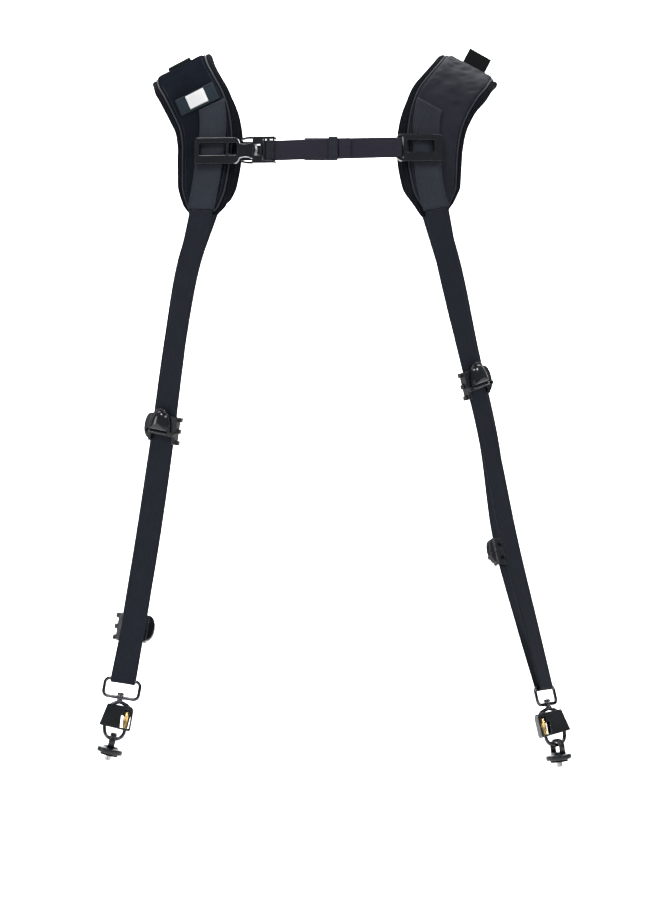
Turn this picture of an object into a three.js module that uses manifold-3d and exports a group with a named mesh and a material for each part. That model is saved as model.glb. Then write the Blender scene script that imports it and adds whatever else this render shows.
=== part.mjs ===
// Dual camera harness: two shoulder pads joined by a chest strap and a back strap. A long webbing strap
// runs from each pad's front end through a ring at the hip and back up to the pad's rear end. Each ring
// carries a swivel hook with a screw fastener, and each strap carries two clip-on stops.
// Millimetres. +X is to the viewer's right when the harness is seen from the front, the front faces -Y,
// and +Z is up. The origin lies midway between the pads at the height of their crests.
import * as THREE from "three";
import { mergeVertices } from "three/addons/utils/BufferGeometryUtils.js";
import Module from "manifold-3d";

const wasm = await Module();
wasm.setup();

// General sizes
const GAP = 0.3;
const PAD_WIDTH = 68;
const PAD_THICKNESS = 8;
const PAD_FRONT_DROP = 152;
const PAD_REAR_DROP = 132;
const CHEST_DEPTH = 108;
const BACK_DEPTH = 112;
const PANEL_THICKNESS = 1.6;
const PANEL_MARGIN = 7.5;
const STRAP_WIDTH = 25.4;
const STRAP_THICKNESS = 1.8;
const PAD_WEBBING_WIDTH = 28;
const CHEST_WEBBING_WIDTH = 20;

// Cross band and label on one pad
const BAND_LENGTH = 42;
const BAND_OFFSET = 1.5;
const LABEL_WIDTH = 20;
const LABEL_THICKNESS = 0.8;

// Distances out from the middle of the left crest and ring, and the left ring's depth below the origin;
// the right side's are a share more
const CREST_OUT = 142;
const RING_OUT = 200;
const RING_DROP = 619;

// Straps and rings
const RING_DEPTH = 60;
const STRAP_BOW = 10;
const RING_WIRE = 3.5;
const RING_WIDTH = 40.5;
const RING_HEIGHT = 21.5;
const RING_CORNER = 5;
const RING_BOSS = 8;

// Hooks
const STEM_DIAMETER = 3.6;
const STEM_HEAD = 7;
const STEM_COLLAR = 6.4;
const HOOK_WIRE = 3.8;
const HOOK_WIDTH = 25;
const HOOK_LENGTH = 44;
const GATE_WIRE = 3.4;
const SLEEVE_DIAMETER = 7.2;
const SLEEVE_LENGTH = 17;
const COVER_DEPTH = 11;
const COVER_WALL = 1.2;

// Fasteners
const EYE_BAND = 6.5;
const EYE_THICKNESS = 3.4;
const EYE_RADIUS = 6.8;
const EYE_HEIGHT = 7;
const DISC_DIAMETER = 26;
const DISC_THICKNESS = 6;
const BOSS_DIAMETER = 15;
const BOSS_HEIGHT = 3;
const WASHER_DIAMETER = 18;
const WASHER_THICKNESS = 2;
const STUD_DIAMETER = 6.35;
const STUD_LENGTH = 5;

// Stops on the straps
const STOP_HEIGHT = 28;
const STOP_WALL = 2.4;
const STOP_EAR = 7;
const STOP_TEETH = 3;
const LEVER_WIDTH = 26;
const LEVER_HEIGHT = 24;
const LEVER_RIM = 1.6;
const LEVER_DOME = 4.6;
const LEVER_BARREL = 3;
const LEVER_SHIFT = 3;

// Chest strap hardware
const FRAME_LENGTH = 46;
const FRAME_HEIGHT = 26.6;
const FRAME_THICKNESS = 5;
const FRAME_WINDOW_HEIGHT = 12;
const SOCKET_LENGTH = 13.5;
const SOCKET_WAIST = 13;
const PLUG_LENGTH = 22.5;
const PLUG_RAIL = 1.2;
const LOOP_BAR = 2.6;
const TAIL_LENGTH = 79;
const HEM_LENGTH = 9.5;
const CHEST_BULGE = 9;
const KEEPER_MARGIN = 11;
const KEEPER_PLACE = TAIL_LENGTH - HEM_LENGTH - KEEPER_MARGIN;
const KEEPER_WIDTH = 9;
const KEEPER_WALL = 1.3;

// Tab that stands or lies at each crest
const TAB_RISE = 20;
const TAB_LAY = 14;
const TAB_LEAN = 5;

// Back strap
const BACK_STRAP_SECTION = 3.73;
const BACK_BULGE = 6;
const SLIDER_LENGTH = 31;
const SLIDER_WALL = 1.2;

// Heights of the layers above a pad's middle surface
const PANEL_LEVEL = PAD_THICKNESS / 2 + GAP + PANEL_THICKNESS / 2;
const WEBBING_LEVEL = PANEL_LEVEL + PANEL_THICKNESS / 2 + GAP + STRAP_THICKNESS / 2;
const FRAME_LEVEL = WEBBING_LEVEL + STRAP_THICKNESS / 2 + GAP + FRAME_THICKNESS / 2;
const LABEL_LEVEL = WEBBING_LEVEL + STRAP_THICKNESS / 2 + GAP + LABEL_THICKNESS / 2;

// Radius of the webbing's middle line where it turns round a bar
const RING_TURN = RING_WIRE / 2 + GAP + STRAP_THICKNESS / 2;
const BAR_TURN = LOOP_BAR / 2 + GAP + STRAP_THICKNESS / 2;
const PLUG_THICKNESS = 2 * (BAR_TURN + STRAP_THICKNESS / 2 + GAP + PLUG_RAIL);

// Pad sections from the front end up to the crest. down is a share of the drop, depth a share of the
// chest or back depth, slope and yaw are the turn of the pad across its width in degrees.
const PAD_SECTIONS = [
  { down: 1.0, depth: 0.981, slope: 0, yaw: 20 },
  { down: 0.945, depth: 0.991, slope: 0, yaw: 19 },
  { down: 0.84, depth: 1.0, slope: 0, yaw: 17 },
  { down: 0.676, depth: 1.0, slope: 1, yaw: 14 },
  { down: 0.523, depth: 0.985, slope: 3, yaw: 13 },
  { down: 0.388, depth: 0.93, slope: 9, yaw: 12 },
  { down: 0.276, depth: 0.83, slope: 16, yaw: 10 },
  { down: 0.17, depth: 0.68, slope: 21, yaw: 6 },
  { down: 0.075, depth: 0.44, slope: 25, yaw: 3 },
  { down: 0.02, depth: 0.2, slope: 27, yaw: 1 },
  { down: 0.0, depth: -0.02, slope: 27.5, yaw: 0 },
];

// One entry for each side. crest and ring are distances out from the middle, drop is the ring's depth
// below the origin. out is each pad section's share of crest, inner and outer are shares of half the
// pad's width.
// front and rear hold the strap's route as shares of the way from the pad to the ring, with a bow outward
// as a share of STRAP_BOW and the yaw of the webbing in degrees.
const SIDES = [
  {
    name: "left",
    sign: -1,
    crest: CREST_OUT,
    ring: RING_OUT,
    drop: RING_DROP,
    ringYaw: 12,
    fastenerLean: 14,
    hookYaw: 0,
    eyeYaw: 0,
    out: [0.826, 0.826, 0.819, 0.805, 0.799, 0.821, 0.866, 0.92, 0.963, 0.985, 1],
    inner: [0.43, 0.66, 0.83, 0.9, 0.95, 0.98, 1.0, 0.975, 0.95, 0.97, 1.0],
    outer: [0.44, 0.65, 0.84, 0.9, 0.93, 0.94, 0.975, 0.99, 1.035, 1.02, 1.005],
    front: [
      { way: 0.15, bow: 0.45, yaw: 36 },
      { way: 0.3, bow: 0.27, yaw: 36 },
      { way: 0.5, bow: -0.02, yaw: 28 },
      { way: 0.7, bow: -0.15, yaw: 22 },
      { way: 0.88, bow: -0.2, yaw: 15 },
    ],
    rear: [
      { way: 0.12, bow: 0.9, yaw: -22 },
      { way: 0.3, bow: 0.9, yaw: -30 },
      { way: 0.5, bow: 0.45, yaw: -20 },
      { way: 0.7, bow: 0.15, yaw: -6 },
      { way: 0.88, bow: 0.05, yaw: 6 },
    ],
    stops: [
      { name: "stop_front_left", leg: "front", way: 0.467, ear: -1 },
      { name: "stop_rear_left", leg: "rear", way: 0.857, ear: 1 },
    ],
    tabRise: 0.2 * TAB_RISE,
    tabLay: TAB_LAY,
    tabLean: 0,
  },
  {
    name: "right",
    sign: 1,
    crest: 1.05 * CREST_OUT,
    ring: 1.12 * RING_OUT,
    drop: 1.011 * RING_DROP,
    ringYaw: 57,
    fastenerLean: 7,
    hookYaw: 18,
    eyeYaw: 20,
    out: [0.756, 0.746, 0.732, 0.722, 0.729, 0.761, 0.816, 0.882, 0.942, 0.975, 1],
    inner: [0.4, 0.53, 0.75, 0.85, 0.92, 0.99, 1.05, 1.005, 0.95, 0.93, 0.93],
    outer: [0.42, 0.66, 0.92, 0.99, 1.01, 0.99, 0.95, 0.94, 1.0, 1.0, 1.0],
    front: [
      { way: 0.15, bow: -0.2, yaw: 33 },
      { way: 0.3, bow: -0.2, yaw: 42 },
      { way: 0.5, bow: -0.1, yaw: 46 },
      { way: 0.7, bow: -0.3, yaw: 47 },
      { way: 0.88, bow: -0.1, yaw: 54 },
    ],
    rear: [
      { way: 0.12, bow: 0.45, yaw: 4 },
      { way: 0.3, bow: 0.4, yaw: 24 },
      { way: 0.5, bow: 0.4, yaw: 34 },
      { way: 0.7, bow: -0.5, yaw: 38 },
      { way: 0.88, bow: -0.3, yaw: 50 },
    ],
    stops: [
      { name: "stop_front_right", leg: "front", way: 0.382, ear: -1 },
      { name: "stop_rear_right", leg: "rear", way: 0.695, ear: 1 },
    ],
    tabRise: TAB_RISE,
    tabLay: 0,
    tabLean: TAB_LEAN,
  },
];

// Middle line of the pad webbing: place along the pad's sections and offset inward as a share of half
// the pad's width.
const PAD_WEBBING_ROUTE = [
  { section: 0.75, offset: -0.03 },
  { section: 1.9, offset: 0.05 },
  { section: 3.0, offset: 0.11 },
  { section: 4.0, offset: 0.18 },
  { section: 5.0, offset: 0.31 },
  { section: 5.5, offset: 0.375 },
];
const REAR_WEBBING_TOP = 9.2;
const BAND_SECTIONS = [5.6, 6.55];
const LABEL_SECTIONS = [5.7, 6.45];
const FRAME_SECTION = 3.65;
const FRAME_OFFSET = 13;
const FRAME_LIFTS = { left: -3, right: -0.5 };

// Materials
const webbingMaterial = new THREE.MeshStandardMaterial({ color: 0x1b1d22, roughness: 0.85 });
const chestWebbingMaterial = new THREE.MeshStandardMaterial({ color: 0x2a2933, roughness: 0.85 });
const panelMaterial = new THREE.MeshStandardMaterial({ color: 0x24262d, roughness: 0.8 });
const meshMaterial = new THREE.MeshStandardMaterial({ color: 0x131419, roughness: 0.95 });
const plasticMaterial = new THREE.MeshStandardMaterial({ color: 0x15161a, roughness: 0.35 });
const steelMaterial = new THREE.MeshStandardMaterial({ color: 0x2c2c30, roughness: 0.2, metalness: 1 });
const brassMaterial = new THREE.MeshStandardMaterial({ color: 0xcaa24a, roughness: 0.3, metalness: 1 });
const labelMaterial = new THREE.MeshStandardMaterial({ color: 0xf2f2f2, roughness: 0.7 });
const bandMaterial = new THREE.MeshStandardMaterial({ color: 0x222c36, roughness: 0.8 });

const vector = (x, y, z) => new THREE.Vector3(x, y, z);
const degrees = (angle) => (angle * Math.PI) / 180;

// a point at lengths a, b and c along the three axes of a frame
const place = (frame, a, b, c) => {
  const point = frame.at.clone().addScaledVector(frame.across, a);
  return point.addScaledVector(frame.out, b).addScaledVector(frame.along, c);
};

const matrixOf = ({ at, across, out, along }) =>
  new THREE.Matrix4().makeBasis(across, out, along).setPosition(at);

// the part of one direction that is square to another, at unit length
const squareTo = (direction, axis) =>
  direction.clone().addScaledVector(axis, -direction.dot(axis)).normalize();

// a closed mesh from rings of points, with flat ends or joined end to end
function loft(rings, closed = false) {
  const sides = rings[0].length;
  const positions = rings.flat().flatMap((point) => [point.x, point.y, point.z]);
  const faces = [];
  const last = closed ? rings.length : rings.length - 1;
  for (let i = 0; i < last; i++) {
    const here = i * sides;
    const next = ((i + 1) % rings.length) * sides;
    for (let j = 0; j < sides; j++) {
      const k = (j + 1) % sides;
      faces.push(here + j, next + j, next + k, here + j, next + k, here + k);
    }
  }
  if (!closed) {
    const end = (rings.length - 1) * sides;
    for (let j = 1; j < sides - 1; j++) {
      faces.push(0, j, j + 1);
      faces.push(end, end + j + 1, end + j);
    }
  }
  const geometry = new THREE.BufferGeometry();
  geometry.setAttribute("position", new THREE.Float32BufferAttribute(positions, 3));
  geometry.setIndex(faces);
  return facingOut(geometry);
}

// turns a closed mesh the right way round
function facingOut(geometry) {
  const p = geometry.getAttribute("position");
  const index = geometry.getIndex().array;
  const corners = [vector(), vector(), vector()];
  let volume = 0;
  for (let i = 0; i < index.length; i += 3) {
    corners.forEach((corner, k) => corner.fromBufferAttribute(p, index[i + k]));
    volume += corners[0].dot(corners[1].clone().cross(corners[2]));
  }
  if (volume < 0) {
    const flipped = Array.from(index);
    for (let i = 0; i < flipped.length; i += 3) {
      [flipped[i + 1], flipped[i + 2]] = [flipped[i + 2], flipped[i + 1]];
    }
    geometry.setIndex(flipped);
  }
  return geometry;
}

// one closed mesh with shared corners
function welded(geometry) {
  const bare = geometry.clone();
  bare.deleteAttribute("normal");
  bare.deleteAttribute("uv");
  return facingOut(mergeVertices(bare, 1e-4));
}

function manifoldOf(geometry) {
  const mesh = welded(geometry);
  const vertProperties = new Float32Array(mesh.getAttribute("position").array);
  const triVerts = new Uint32Array(mesh.getIndex().array);
  return new wasm.Manifold(new wasm.Mesh({ numProp: 3, vertProperties, triVerts }));
}

function geometryOf(solid) {
  const mesh = solid.getMesh();
  const geometry = new THREE.BufferGeometry();
  geometry.setAttribute("position", new THREE.Float32BufferAttribute(mesh.vertProperties, 3));
  geometry.setIndex(Array.from(mesh.triVerts));
  return geometry;
}

const joined = (...pieces) => geometryOf(pieces.map(manifoldOf).reduce((whole, piece) => whole.add(piece)));

const cut = (body, ...tools) =>
  geometryOf(tools.map(manifoldOf).reduce((whole, tool) => whole.subtract(tool), manifoldOf(body)));

// a box between two corners
function box(from, to) {
  const size = to.map((value, i) => value - from[i]);
  const middle = to.map((value, i) => (value + from[i]) / 2);
  return new THREE.BoxGeometry(...size).translate(...middle);
}

// a round bar along the first, second or third axis
function rod(diameter, length, axis, sides = 12) {
  const bar = new THREE.CylinderGeometry(diameter / 2, diameter / 2, length, sides);
  if (axis === 0) bar.rotateZ(Math.PI / 2);
  if (axis === 2) bar.rotateX(Math.PI / 2);
  return bar;
}

// a body of revolution about the third axis, from a closed profile of radius and height
function turned(profile, sides = 20) {
  const points = profile.map(([radius, height]) => new THREE.Vector2(radius, height));
  return new THREE.LatheGeometry(points, sides).rotateX(Math.PI / 2);
}

// a plate of the given outline in the first and third axes, centred on the second axis
function plate(shape, thickness, curveSegments = 4) {
  const settings = { depth: thickness, bevelEnabled: false, curveSegments };
  return new THREE.ExtrudeGeometry(shape, settings).translate(0, 0, -thickness / 2).rotateX(Math.PI / 2);
}

// a rectangle with round corners
function roundedRectangle(x0, y0, x1, y1, radius) {
  const shape = new THREE.Shape();
  shape.moveTo(x0 + radius, y0);
  shape.lineTo(x1 - radius, y0);
  shape.absarc(x1 - radius, y0 + radius, radius, -Math.PI / 2, 0);
  shape.lineTo(x1, y1 - radius);
  shape.absarc(x1 - radius, y1 - radius, radius, 0, Math.PI / 2);
  shape.lineTo(x0 + radius, y1);
  shape.absarc(x0 + radius, y1 - radius, radius, Math.PI / 2, Math.PI);
  shape.lineTo(x0, y0 + radius);
  shape.absarc(x0 + radius, y0 + radius, radius, Math.PI, 1.5 * Math.PI);
  return shape;
}

const named = (name, geometry, material, frame) => {
  const mesh = new THREE.Mesh(welded(geometry), material);
  mesh.name = name;
  if (frame) {
    mesh.geometry.applyMatrix4(matrixOf(frame));
    mesh.geometry = facingOut(mesh.geometry);
  }
  return mesh;
};

// frames along a line of points: along follows the line, across is squared to it, out completes them
function framesAlong(points, across, outSign) {
  return points.map((at, i) => {
    const before = points[Math.max(i - 1, 0)];
    const after = points[Math.min(i + 1, points.length - 1)];
    const along = after.clone().sub(before).normalize();
    const side = squareTo(across[i], along);
    return { at, along, across: side, out: along.clone().cross(side).multiplyScalar(outSign) };
  });
}

// webbing of a given width and thickness along frames
const ribbon = (frames, width, thickness) =>
  loft(frames.map((frame) => layerRing(frame, 0, width, 0, thickness)));

// a frame between two frames of a list, at a fractional place
function frameAt(frames, index) {
  const i = Math.min(Math.floor(index), frames.length - 2);
  const share = index - i;
  const blend = (key) => frames[i][key].clone().lerp(frames[i + 1][key], share);
  const along = blend("along").normalize();
  const across = squareTo(blend("across"), along);
  const out = blend("out");
  return { at: blend("at"), along, across, out: squareTo(squareTo(out, along), across) };
}

// the pad of one side: a frame and two half widths at each section, then smoothed along its length
const STEPS_PER_SECTION = 2;
function padOf(side) {
  const count = PAD_SECTIONS.length;
  const row = (i, rear) => {
    const section = PAD_SECTIONS[i];
    const drop = rear ? PAD_REAR_DROP : PAD_FRONT_DROP;
    const depth = rear ? BACK_DEPTH : -CHEST_DEPTH;
    const slope = degrees(section.slope);
    const yaw = degrees(section.yaw) * (rear ? 1 : -1);
    return {
      at: vector(side.sign * side.out[i] * side.crest, section.depth * depth, -section.down * drop),
      across: vector(-side.sign * Math.cos(slope) * Math.cos(yaw), Math.sin(yaw), Math.sin(slope)),
      half: vector((side.inner[i] * PAD_WIDTH) / 2, (side.outer[i] * PAD_WIDTH) / 2, 0),
    };
  };
  const rows = [];
  for (let i = 0; i < count; i++) rows.push(row(i, false));
  for (let i = count - 2; i >= 0; i--) rows.push(row(i, true));
  const curve = (key) => new THREE.CatmullRomCurve3(rows.map((r) => r[key]), false, "centripetal");
  const steps = (rows.length - 1) * STEPS_PER_SECTION;
  const sample = (key) => curve(key).getPoints(steps);
  const frames = framesAlong(sample("at"), sample("across"), side.sign);
  const halves = sample("half");
  return { frames, halves, front: 0, rear: steps };
}

// the frame at a section number counted from the front end, or from the rear end where rear is true
function padFrame(pad, section, rear = false) {
  const index = section * STEPS_PER_SECTION;
  return frameAt(pad.frames, rear ? pad.rear - index : index);
}

// points across a face at one height, from one edge to the other
const COLUMNS = 3;
const rowAcross = (frame, from, to, level, columns = COLUMNS) =>
  Array.from({ length: columns + 1 }, (_, i) => place(frame, from + ((to - from) * i) / columns, level, 0));

// cross-section of the padded base: flat faces with soft edges
function padBase(pad) {
  const half = PAD_THICKNESS / 2;
  const soft = PAD_THICKNESS * 0.45;
  return loft(
    pad.frames.map((frame, i) => {
      const { x: inner, y: outer } = pad.halves[i];
      return [
        place(frame, inner, 0, 0),
        place(frame, inner - soft * 0.3, half * 0.7, 0),
        ...rowAcross(frame, inner - soft, -outer + soft, half),
        place(frame, -outer + soft * 0.3, half * 0.7, 0),
        place(frame, -outer, 0, 0),
        place(frame, -outer + soft * 0.3, -half * 0.7, 0),
        ...rowAcross(frame, -outer + soft, inner - soft, -half, 1),
        place(frame, inner - soft * 0.3, -half * 0.7, 0),
      ];
    }),
  );
}

// the woven cover panel on the outer face of the base
function padPanel(pad) {
  const low = PAD_THICKNESS / 2 + GAP;
  const high = low + PANEL_THICKNESS;
  const frames = pad.frames.slice(1, -1);
  return loft(
    frames.map((frame, i) => {
      const inner = pad.halves[i + 1].x - PANEL_MARGIN;
      const outer = pad.halves[i + 1].y - PANEL_MARGIN;
      return [...rowAcross(frame, inner, -outer, high), ...rowAcross(frame, -outer, inner, low)];
    }),
  );
}

// the pad's frames between two section numbers: those at its own steps, and both ends
function padStretch(pad, from, to, rear = false) {
  const sections = [from];
  for (let i = Math.floor(from * STEPS_PER_SECTION) + 1; i < to * STEPS_PER_SECTION; i++) {
    sections.push(i / STEPS_PER_SECTION);
  }
  sections.push(to);
  return sections.map((section) => ({ section, frame: padFrame(pad, section, rear) }));
}

// a flat layer on the pad's outer face: level is the height of its middle, offset moves it inward
function layerRing(frame, offset, width, level, thickness) {
  const half = thickness / 2;
  return [
    ...rowAcross(frame, offset + width / 2, offset - width / 2, level + half, 2),
    ...rowAcross(frame, offset - width / 2, offset + width / 2, level - half, 2),
  ];
}

// offset inward of the front webbing's middle line at a section
function webbingOffset(section) {
  const route = PAD_WEBBING_ROUTE;
  const i = Math.max(1, route.findIndex((row) => row.section >= section - 1e-9));
  const from = route[i - 1];
  const to = route[i];
  const share = THREE.MathUtils.mapLinear(section, from.section, to.section, from.offset, to.offset);
  return (share * PAD_WIDTH) / 2;
}

function frontWebbing(pad) {
  const stretch = padStretch(pad, PAD_WEBBING_ROUTE[0].section, PAD_WEBBING_ROUTE.at(-1).section);
  return loft(
    stretch.map(({ section, frame }) =>
      layerRing(frame, webbingOffset(section), PAD_WEBBING_WIDTH, WEBBING_LEVEL, STRAP_THICKNESS),
    ),
  );
}

// rear webbing with its tail: it runs up the rear of the pad and leaves it at the crest
function rearWebbing(side, pad) {
  const start = PAD_WEBBING_ROUTE[0].section;
  const stretch = padStretch(pad, start, REAR_WEBBING_TOP, true);
  const rings = stretch.map(({ section, frame }) => {
    const share = (section - start) / (REAR_WEBBING_TOP - start);
    return layerRing(frame, -side.tabLean * share ** 2, STRAP_WIDTH, WEBBING_LEVEL, STRAP_THICKNESS);
  });
  const end = stretch.at(-1).frame;
  const forward = end.along.clone().multiplyScalar(-1);
  const bend = 3;
  const points = [place(end, -side.tabLean, WEBBING_LEVEL, 0)];
  const add = (ahead, up) => {
    points.push(place(end, -side.tabLean, WEBBING_LEVEL + up, 0).addScaledVector(forward, ahead));
  };
  add(bend * 0.7, bend * 0.3);
  add(bend, bend);
  add(bend, side.tabRise);
  if (side.tabLay > 0) {
    add(bend * 0.3, side.tabRise + bend * 0.7);
    add(-bend, side.tabRise + bend);
    add(-side.tabLay, side.tabRise + bend);
  }
  const frames = framesAlong(points, points.map(() => end.across), -side.sign);
  frames.slice(1).forEach((frame) => rings.push(layerRing(frame, 0, STRAP_WIDTH, 0, STRAP_THICKNESS)));
  return loft(rings);
}

// a patch sewn across the pad between two sections
function padPatch(pad, [from, to], length, level, thickness) {
  return loft(padStretch(pad, from, to).map(({ frame }) => layerRing(frame, BAND_OFFSET, length, level, thickness)));
}

// the ring of one side: its frame has along pointing up the ring and out facing forward
function ringFrame(side, pad) {
  const at = vector(side.sign * side.ring, -RING_DEPTH, -side.drop);
  const front = pad.frames[pad.front].at.clone().sub(at).normalize();
  const rear = pad.frames[pad.rear].at.clone().sub(at).normalize();
  const along = front.add(rear).normalize();
  const yaw = degrees(side.ringYaw);
  const across = squareTo(vector(-side.sign * Math.cos(yaw), -Math.sin(yaw), 0), along);
  const out = along.clone().cross(across).multiplyScalar(side.sign);
  return { at, along, across, out };
}

// the whole strap of one side: front leg down, round the ring's bar, rear leg up. Its first and last
// stretches lie on the pads' ends.
const LEG_STEPS = 20;
const TURN_STEPS = 8;
const SEAM_SHARES = [0.94, 0.5, 0];
function strapOf(side, pad, ring) {
  const seam = PAD_WEBBING_ROUTE[0];
  const onPad = (rear) => {
    const offset = rear ? 0 : (seam.offset * PAD_WIDTH) / 2;
    return SEAM_SHARES.map((share) => {
      const frame = padFrame(pad, seam.section * share, rear);
      return { ...frame, at: place(frame, offset, WEBBING_LEVEL, 0) };
    });
  };
  const leg = (rear) => {
    const upper = onPad(rear);
    const end = upper.at(-1);
    const start = end.at.clone();
    const goal = place(ring, 0, rear ? -RING_TURN : RING_TURN, RING_TURN);
    const outward = vector(side.sign, 0, 0);
    const stops = side[rear ? "rear" : "front"].map((row) => ({
      at: start.clone().lerp(goal, row.way).addScaledVector(outward, row.bow * STRAP_BOW),
      across: yawed(side, row.yaw),
    }));
    const knots = [upper.at(-2), end, ...stops, { at: goal, across: ring.across }];
    const line = new THREE.CatmullRomCurve3(knots.map((knot) => knot.at), false, "centripetal");
    const turn = new THREE.CatmullRomCurve3(knots.map((knot) => knot.across), false, "centripetal");
    const first = 1 / (knots.length - 1);
    const at = [];
    const across = [];
    for (let i = 1; i <= LEG_STEPS; i++) {
      const t = first + ((1 - first) * i) / LEG_STEPS;
      at.push(line.getPoint(t));
      across.push(turn.getPoint(t));
    }
    return { upper, at, across };
  };
  const front = leg(false);
  const rear = leg(true);
  const points = [...front.at];
  const across = [...front.across];
  for (let i = 1; i < TURN_STEPS; i++) {
    const angle = (Math.PI * i) / TURN_STEPS;
    points.push(place(ring, 0, RING_TURN * Math.cos(angle), -RING_TURN * Math.sin(angle)));
    across.push(ring.across);
  }
  points.push(...rear.at.toReversed());
  across.push(...rear.across.toReversed());
  const frames = framesAlong(points, across, -side.sign);
  return { frames, upperFront: front.upper, upperRear: rear.upper };
}

// the strap's solid; the pad's own frames run upward, so the front ones are turned to run down
function strapBody(strap) {
  const flat = (frame) => layerRing(frame, 0, STRAP_WIDTH, 0, STRAP_THICKNESS);
  const rings = strap.upperFront.map(flat);
  strap.frames.forEach((frame) => rings.push(flat(frame)));
  strap.upperRear.toReversed().forEach((frame) => rings.push(flat(frame)));
  return loft(rings);
}

const yawed = (side, yaw) => vector(-side.sign * Math.cos(degrees(yaw)), -Math.sin(degrees(yaw)), 0);

// the frame of a stop on the strap: along points up the strap, out away from the wearer's side
function stopFrame(side, strap, stop) {
  const last = strap.frames.length - 1;
  const step = stop.way * LEG_STEPS - 1;
  const index = stop.leg === "front" ? step : last - step;
  const frame = frameAt(strap.frames, index);
  const along = frame.along.clone().multiplyScalar(stop.leg === "front" ? -1 : 1);
  const across = frame.across.clone().multiplyScalar(stop.ear);
  return { at: frame.at, along, across, out: frame.out };
}

// a stop's body: a sleeve with an ear at one edge, teeth at the other, an open front below the lever and
// a laddered back
function stopBody() {
  const slotHalf = STRAP_WIDTH / 2 + GAP * 2;
  const slotDeep = STRAP_THICKNESS / 2 + GAP * 2;
  const outerHalf = slotHalf + STOP_WALL;
  const deep = slotDeep + STOP_WALL;
  const top = STOP_HEIGHT / 2;
  const window = STOP_HEIGHT / 6;
  const lug = LEVER_BARREL + 1;
  const hinge = stopHinge();
  const ear = rod(2 * STOP_EAR, deep * 1.5, 1, 16)
    .scale(1, 1, 1.9)
    .translate(outerHalf, 0, 1);
  const teeth = [-1, 0, 1].map((i) =>
    box(
      [-outerHalf - STOP_TEETH, -deep * 0.8, i * (top - window / 2) - window / 2],
      [-outerHalf + 0.5, deep * 0.4, i * (top - window / 2) + window / 2],
    ),
  );
  const lugFrom = LEVER_SHIFT + hinge.half + GAP;
  const lugs = [
    [-outerHalf, LEVER_SHIFT - hinge.half - GAP],
    [lugFrom, lugFrom + STOP_WALL],
  ].map(([from, to]) =>
    box([from, deep - STOP_WALL, hinge.up - lug / 2], [to, hinge.out + lug / 2, hinge.up + lug / 2]),
  );
  const sleeve = joined(box([-outerHalf, -deep, -top], [outerHalf, deep, top]), ear, ...teeth, ...lugs);
  const slot = box([-slotHalf, -slotDeep, -top - 1], [slotHalf, slotDeep, top + 1]);
  const windows = [-1, 1].map((i) =>
    box(
      [-slotHalf + 2, -deep - 1, i * window * 1.5 - window / 2],
      [slotHalf - 2, 0, i * window * 1.5 + window / 2],
    ),
  );
  const front = box(
    [-slotHalf + 1, 0, -top - 1],
    [slotHalf - 1, deep + 1, hinge.up - LEVER_BARREL / 2 - 1],
  );
  return cut(sleeve, slot, front, ...windows);
}

// where a stop's lever turns: half its length, and its axis outward and up from the strap's middle
function stopHinge() {
  const deep = STRAP_THICKNESS / 2 + GAP * 2 + STOP_WALL;
  return {
    half: LEVER_WIDTH / 2,
    out: deep + GAP + LEVER_BARREL / 2,
    up: -STOP_HEIGHT / 2 + 10,
  };
}

// a stop's lever: an egg-shaped rim with a dome on it, hinged along its lower edge, set towards the ear
// and rising above the body
function stopLever() {
  const hinge = stopHinge();
  const half = LEVER_WIDTH / 2;
  const egg = new THREE.Shape();
  egg.moveTo(-half, hinge.up);
  egg.lineTo(half, hinge.up);
  const tip = hinge.up + LEVER_HEIGHT;
  const cheek = hinge.up + LEVER_HEIGHT * 0.75;
  egg.bezierCurveTo(half, cheek, half * 0.45, tip, 0, tip);
  egg.bezierCurveTo(-half * 0.45, tip, -half, cheek, -half, hinge.up);
  const rimLevel = hinge.out - LEVER_BARREL / 2 + LEVER_RIM / 2;
  const rim = plate(egg, LEVER_RIM, 5).translate(0, rimLevel, 0);
  const dome = new THREE.SphereGeometry(1, 12, 6)
    .scale(half * 0.78, LEVER_DOME, LEVER_HEIGHT * 0.42)
    .translate(0, rimLevel, hinge.up + LEVER_HEIGHT * 0.46);
  const inner = box([-half, rimLevel - 2 * LEVER_DOME, hinge.up - 1], [half, rimLevel, tip]);
  const barrel = rod(LEVER_BARREL, LEVER_WIDTH, 0).translate(0, hinge.out, hinge.up);
  return joined(cut(dome, inner), rim, barrel).translate(LEVER_SHIFT, 0, 0);
}

// the ring: a closed rectangle of wire with a drilled boss in its lower bar, hanging below its frame
function ringBody() {
  const width = RING_WIDTH - RING_WIRE;
  const height = RING_HEIGHT - RING_WIRE;
  const outline = roundedRectangle(-width / 2, -height, width / 2, 0, RING_CORNER);
  const points = outline.getPoints(2).map((p) => vector(p.x, 0, p.y));
  if (points[0].distanceTo(points.at(-1)) < 1e-6) points.pop();
  const sides = 8;
  const rings = points.map((at, i) => {
    const before = points.at(i - 1);
    const after = points[(i + 1) % points.length];
    const along = after.clone().sub(before).normalize();
    const out = vector(0, 1, 0);
    const across = along.clone().cross(out);
    return Array.from({ length: sides }, (_, k) => {
      const angle = (2 * Math.PI * (k + 0.5)) / sides;
      const radius = RING_WIRE / 2;
      return at
        .clone()
        .addScaledVector(across, radius * Math.cos(angle))
        .addScaledVector(out, radius * Math.sin(angle));
    });
  });
  const boss = rod(RING_BOSS, RING_WIRE + 0.4, 2, 12).translate(0, 0, -height);
  const bore = rod(STEM_DIAMETER + 2 * GAP, RING_HEIGHT / 2, 2, 12).translate(0, 0, -height);
  return cut(joined(loft(rings, true), boss), bore);
}

const RING_BOTTOM = RING_HEIGHT - RING_WIRE;

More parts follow.
